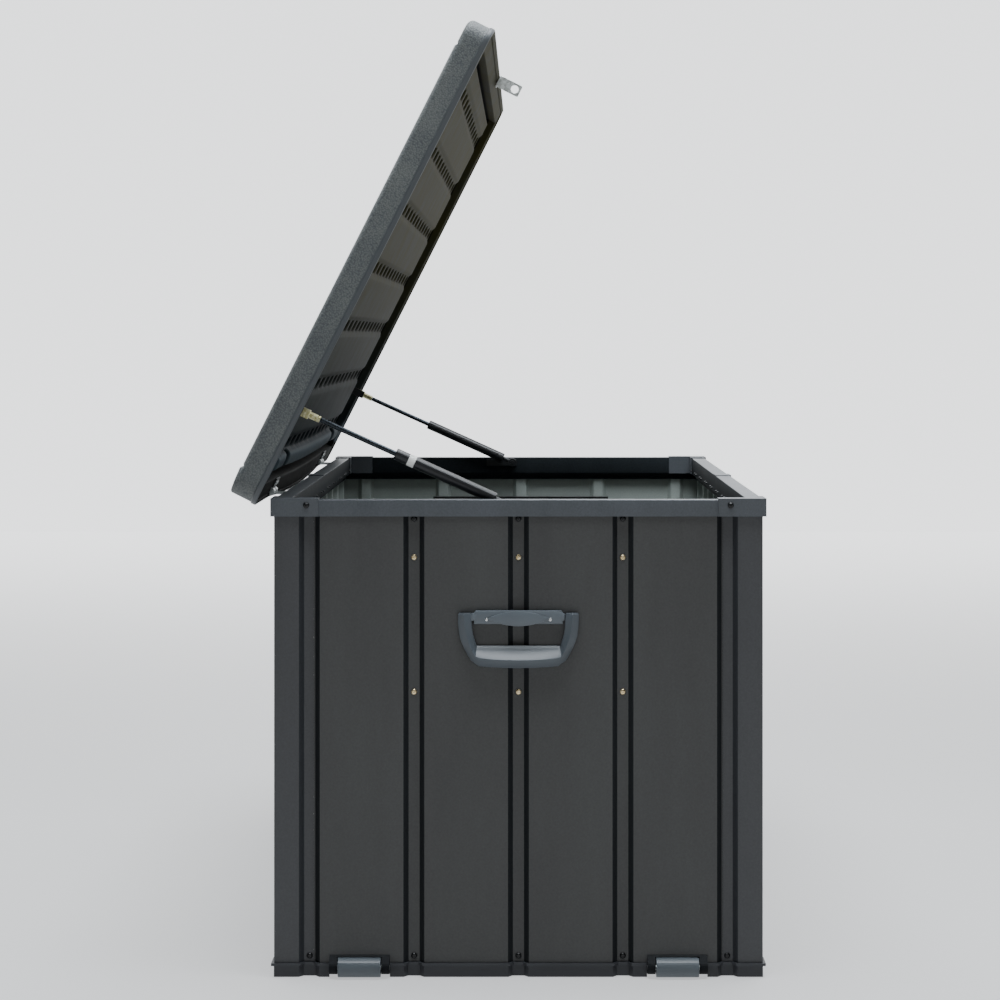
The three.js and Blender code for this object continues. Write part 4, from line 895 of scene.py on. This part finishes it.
def bail_section(bm, outer, ridge, inner, deep):
    """Wire loop across the bail: flat back, outer facet, ridge, then a chamfer or the grip's scoop."""
    scoop = max(0, min((deep - ARM_DEEP) / (GRIP_DEEP - ARM_DEEP), 1))
    points = BAIL_FRONT + [(arm + (grip - arm) * scoop, along) for along, arm, grip in BAIL_REAR] + [(0, 2.0)]
    verts = []
    for share, along in points:
        first, second, part = (outer, ridge, along) if along < 1 else (ridge, inner, along - 1)
        y, z = [a + (b - a) * part for a, b in zip(first, second)]
        verts.append(bm.verts.new((BAIL_BACK - share * deep, y, PIVOT_Z + z)))
    return [bm.edges.new(pair) for pair in zip(verts, verts[1:] + verts[:1])]


def handle_bail():
    """The whole bail: its stations on one side, then mirrored on the other."""
    bm = bmesh.new()
    other = [[(-y, z) for y, z in station[:3]] + [station[3]] for station in BAIL_STATIONS[-2::-1]]
    loops = [bail_section(bm, *station) for station in BAIL_STATIONS + other]
    loft(bm, loops)
    for loop in (loops[0], loops[-1]):
        fill(bm, loop)
    bmesh.ops.recalc_face_normals(bm, faces=bm.faces[:])
    return bm


def handle_bracket():
    """The bracket, seen from the front: a bevelled plate, a raised lens and an ear at each end."""
    bm = slab(BRACKET_PLATE, BRACKET_DEEP, BRACKET_BEVEL)
    spread = [LENS_HALF * (2 * k / LENS_STEPS - 1) for k in range(LENS_STEPS + 1)]
    lens = [(y, LENS_MIDDLE + LENS_RISE * (1 - (y / LENS_HALF) ** 2)) for y in spread]
    lens += [(-y, LENS_MIDDLE - LENS_RISE * (1 - (y / LENS_HALF) ** 2)) for y in spread[1:-1]]
    stamp(bm, kept(slab(lens[::-1], LENS_DEEP, LENS_BEVEL)), Matrix())
    for side in (-1, 1):
        ear_at = Vector((side * EAR_AT, 0, 0))
        stamp(bm, kept(block(ear_at + Vector(EAR_LOW), ear_at + Vector(EAR_HIGH), EAR_BEVEL)), Matrix())
    return bm


def handles():
    """The swinging bails and their fixed brackets, with the brackets' screws."""
    bolt = kept(turned(BRACKET_BOLT, steps=16))
    back = -WALL_X - GAP
    upright = Matrix(((0, 0, -1, back), (-1, 0, 0, 0), (0, 1, 0, PIVOT_Z), (0, 0, 0, 1)))
    for end, sign in ENDS.items():
        place = Matrix() if sign < 0 else Matrix.Rotation(math.pi, 4, "Z")
        add_piece(f"handle_bail_moulding_{end}", handle_bail(), (handle_plastic,), f"handle_{end}",
                  [f"handle_bail_{end}"], place=place, sharp=30)
        add_piece(f"handle_bracket_moulding_{end}", handle_bracket(), (bracket_plastic,), "box",
                  [f"handle_bracket_{end}"], place=place @ upright, sharp=30)
        y, z = BRACKET_SCREW
        bolts = [looking((back - BRACKET_DEEP, side * y, PIVOT_Z + z), (-1, 0, 0)) for side in (-1, 1)]
        add_piece(f"handle_screws_{end}", stamped(bolt, bolts), (bright_zinc,), "box",
                  place=place)


# ---- carried-over solids ------------------------------------------------------------------------
# start of the node's name, its material, and how much its edges are rounded
DRESSING = (
    ("base_tray", tray_plastic, 1.5), ("roller_housing", housing_painted_shade, 0.8),
    ("corner_cap", rail_coat, 0.6), ("rail_sleeve", rail_coat, 0.35), ("stiffener", wall_coat, 0.5),
    ("strut_base_bracket", bracket_black, 0.6), ("strut_lid_bracket", bracket_black, 0.6),
    ("strut_base_fitting", bracket_black, 0.6), ("strut_tube", tube_black, 0), ("strut_rod", rod_steel, 0),
    ("strut_end_socket", yellow_zinc, 0.7), ("hinge_moving_leaf", bracket_black, 0.35),
    ("hinge_fixed_leaf", hinge_zinc, 0.35), ("hinge_pin", hinge_zinc, 0.35), ("roller_axle", galvanised, 0.6),
    ("roller_front", roller_plastic, 0.6), ("roller_rear", roller_plastic, 0.6), ("hasp", galvanised, 0.4),
    ("lock_staple", galvanised, 0.35))


def dress(name, material, bevel):
    """Gives a CAD node its material and rounds its edges."""
    node = frame["nodes"][name]
    node.data.materials.clear()
    node.data.materials.append(material)
    weld = node.modifiers.new("weld", "WELD")
    weld.merge_threshold = CLOSE * MM
    if bevel:
        edge = node.modifiers.new("edges", "BEVEL")
        edge.width = bevel * MM
        edge.segments = 2
        edge.limit_method = "ANGLE"
        edge.angle_limit = math.radians(32)
        edge.harden_normals = False


def dress_solids():
    """Materials and rounded edges for the solids that stay in view."""
    for part in frame["record"]["subparts"]:
        for start, material, bevel in DRESSING:
            if part["node"].startswith(start):
                dress(part["node"], material, bevel)


# ---- the strut's band, in millimetres from the strut's pivot -------------------------------------
STRUT_BAND_AT = 153
STRUT_BAND_LONG = 11
STRUT_BAND_THICK = 0.25
STRUT_BAND_BEVEL = 0.1


def strut_band():
    """A plain white band round the left strut's tube, near the end that the rod leaves."""
    pivot = Vector(joints["strut_pivot_left"]["pos_m"]) / MM
    axis = Vector(joints["strut_slide_left"]["axis"])
    low, high = node_box("strut_tube_left")
    inner = (high.x - low.x) / 2
    outer = inner + STRUT_BAND_THICK
    bm = turned([(inner, 0), (outer, STRUT_BAND_BEVEL), (outer, STRUT_BAND_LONG - STRUT_BAND_BEVEL),
                 (inner, STRUT_BAND_LONG)], steps=48)
    bm.transform(looking(pivot + axis * STRUT_BAND_AT, axis))
    add_piece("strut_band", bm, (white_band,), "strut_body_left")


# ---- fasteners ----------------------------------------------------------------------------------
# (radius, height) profiles of the heads, each with its drive or dimple in the middle
DOME = [(0, 1.5), (1.9, 1.5), (2.1, 2.9), (3.4, 2.4), (4.5, 1.2), (4.8, 0), (0, 0)]
RIVET = [(0, 0.5), (1.5, 0.5), (1.8, 1.8), (3.3, 1.6), (4.4, 0.6), (4.6, 0), (0, 0)]
TIP = [(0, 3.4), (1.2, 3.0), (2.0, 0), (0, 0)]
PAN = [(0, 0.3), (1.1, 0.35), (1.3, 0.85), (2.2, 0.8), (2.9, 0.5), (3.2, 0), (0, 0)]
FOOT_SCREW_Z = 30
UNDER_RAIL_Z = 686
CAP_SCREW_REACH = 51.5  # from the rails' corner
CAP_SCREW_DROP = 8.2  # below the rim
CAP_SHEET = 1.7
TIP_SPREAD = 22  # a pair of tips stands at each channel of a long wall, this far to its sides
TIP_RISE = 7  # over the foot of the rail's inner leg
LEAF_SPREAD = 22  # three screws hold each moving leaf
LEAF_REACH = 14


def on_end(sign, out, y, z):
    """Place of a fastener on an end of the box, `out` from the middle."""
    return looking((sign * out, y, z), (sign, 0, 0))


def on_side(sign, out, x, z):
    """Place of a fastener on the front or rear, `out` from the middle."""
    return looking((x, sign * out, z), (0, sign, 0))


def fasteners():
    """Screws and rivets that hold the sheets, the caps and the tray together."""
    end_middles = channel_middles(WALL_Y)
    long_middles = channel_middles(WALL_X)
    end_floor, long_floor = WALL_X - CHANNEL_DEPTH, WALL_Y - CHANNEL_DEPTH
    cap_height = RIM_Z - CAP_SCREW_DROP
    cap_face = GAP + CAP_SHEET
    screws = []
    for sign in (-1, 1):
        screws += [on_end(sign, end_floor, y, FOOT_SCREW_Z) for y in end_middles]
        screws += [on_side(sign, long_floor, x, FOOT_SCREW_Z) for x in long_middles]
        screws += [on_end(sign, end_floor, y, UNDER_RAIL_Z) for y in end_middles[1:-1]]
        screws += [on_side(sign, long_floor, x, UNDER_RAIL_Z) for x in long_middles[1:-1]]
        for side in (-1, 1):
            screws.append(on_end(sign, END_X + cap_face, side * (SIDE_Y - CAP_SCREW_REACH), cap_height))
            screws.append(on_side(sign, SIDE_Y + cap_face, side * (END_X - CAP_SCREW_REACH), cap_height))
    dome = kept(turned(DOME, steps=18))
    add_piece("dome_screws", stamped(dome, screws), (black_screw,), "box")
    rivets = []
    for bar in ("lower", "upper"):
        low, high = node_box(f"stiffener_left_{bar}")
        for sign in (-1, 1):
            rivets += [on_end(sign, end_floor, y, (low.z + high.z) / 2) for y in end_middles[1:-1]]
    rivet = kept(turned(RIVET, steps=16))
    add_piece("bar_rivets", stamped(rivet, rivets), (gold_rivet,), "box")
    inner_leg = SIDE_Y - RAIL_TOP
    tip_height = RIM_Z - RAIL_INNER + TIP_RISE
    tips = [looking((x + spread, side * inner_leg, tip_height), (0, -side, 0))
            for side in (-1, 1) for x in long_middles for spread in (-TIP_SPREAD, TIP_SPREAD)]
    tip = kept(turned(TIP, steps=12))
    add_piece("screw_tips", stamped(tip, tips), (black_screw,), "box")
    leaf_screws = [looking((side * HINGE_X + spread, -LEAF_REACH, 0), (0, 0, -1))
                   for side in (-1, 1) for spread in (-LEAF_SPREAD, 0, LEAF_SPREAD)]
    pan = kept(turned(PAN, steps=16))
    add_piece("hinge_screws", stamped(pan, leaf_screws), (bright_zinc,), "lid", place=LID_PLACE)


# ---- stage, in metres ---------------------------------------------------------------------------
STAGE_HALF = 30
STAGE_COLOUR = "#8c8c8c"
GLOW_COLOUR = "#f4f6f8"
GLOW_START = 0.5
NEAR_GLOW = 0.66
FAR_GLOW = 2.0
FLOOR_DROP = 0.0005
BACKDROP_X = 9
SURROUND = 0.02
SURROUND_COLOUR = (0.93, 0.96, 1, 1)
AIM = (0, 0, 0.5)
KEY_PLACE = (-3.4, -0.5, 2.0)
KEY_SIZE = (1.4, 1.4)
KEY_POWER = 6
KEY_COLOUR = (1, 0.98, 0.95)
TOP_PLACE = (-0.6, -0.2, 4.2)
TOP_SIZE = (3.0, 3.0)
TOP_POWER = 420
TOP_COLOUR = (0.9, 0.95, 1)


def camera():
    """Level camera before the roller end."""
    data = bpy.data.cameras.new("camera")
    data.sensor_width = 36
    data.lens = 102.9
    data.shift_x = -0.0273
    data.shift_y = -0.164
    viewer = linked("camera", data)
    viewer.location = (-5.04, -0.0133, 0.9603)
    viewer.rotation_euler = (math.pi / 2, 0, -math.pi / 2)
    bpy.context.scene.camera = viewer


def lamp(name, location, size, power, colour):
    """Soft rectangular lamp aimed at the middle of the box."""
    data = bpy.data.lights.new(name, "AREA")
    data.shape = "RECTANGLE"
    data.size, data.size_y = size
    data.energy = power
    data.color = colour
    light = linked(name, data)
    light.location = location
    light.rotation_euler = (Vector(AIM) - Vector(location)).to_track_quat("-Z", "Y").to_euler()


def plain_sheet(name, place):
    """Square matt sheet of the studio, lit from behind: its glow grows behind the box."""
    bm = bmesh.new()
    bmesh.ops.create_grid(bm, x_segments=1, y_segments=1, size=STAGE_HALF)
    bm.transform(place)
    sheet = linked(name, kept(bm, name))
    material, tree, shader = new_material(f"{name}_paper", {
        "Base Color": linear(STAGE_COLOUR), "Roughness": 0.9, "Emission Color": linear(GLOW_COLOUR)})
    glow = add_node(tree, "ShaderNodeMapRange", {
        "Value": axis_of(tree, object_place(tree), "X"), "From Min": GLOW_START, "From Max": BACKDROP_X,
        "To Min": NEAR_GLOW, "To Max": FAR_GLOW}, interpolation_type="SMOOTHSTEP")
    tree.links.new(glow, shader.inputs["Emission Strength"])
    sheet.data.materials.append(material)


def studio():
    """Pale floor that runs into a pale backdrop, a soft key, and a strong soft light from above."""
    plain_sheet("floor", Matrix.Translation((0, 0, -FLOOR_DROP)))
    plain_sheet("backdrop", Matrix.Translation((BACKDROP_X, 0, 0)) @ Matrix.Rotation(-math.pi / 2, 4, "Y"))
    world = bpy.data.worlds.new("surround")
    world.use_nodes = True
    surround = world.node_tree.nodes["Background"].inputs
    surround["Color"].default_value = SURROUND_COLOUR
    surround["Strength"].default_value = SURROUND
    bpy.context.scene.world = world
    lamp("key", KEY_PLACE, KEY_SIZE, KEY_POWER, KEY_COLOUR)
    lamp("top", TOP_PLACE, TOP_SIZE, TOP_POWER, TOP_COLOUR)


camera()
studio()
end_walls()
long_walls()
corner_posts()
rim_rails()
lid_outer_skin()
lid_inner_skin()
lid_rim()
handles()
dress_solids()
strut_band()
fasteners()
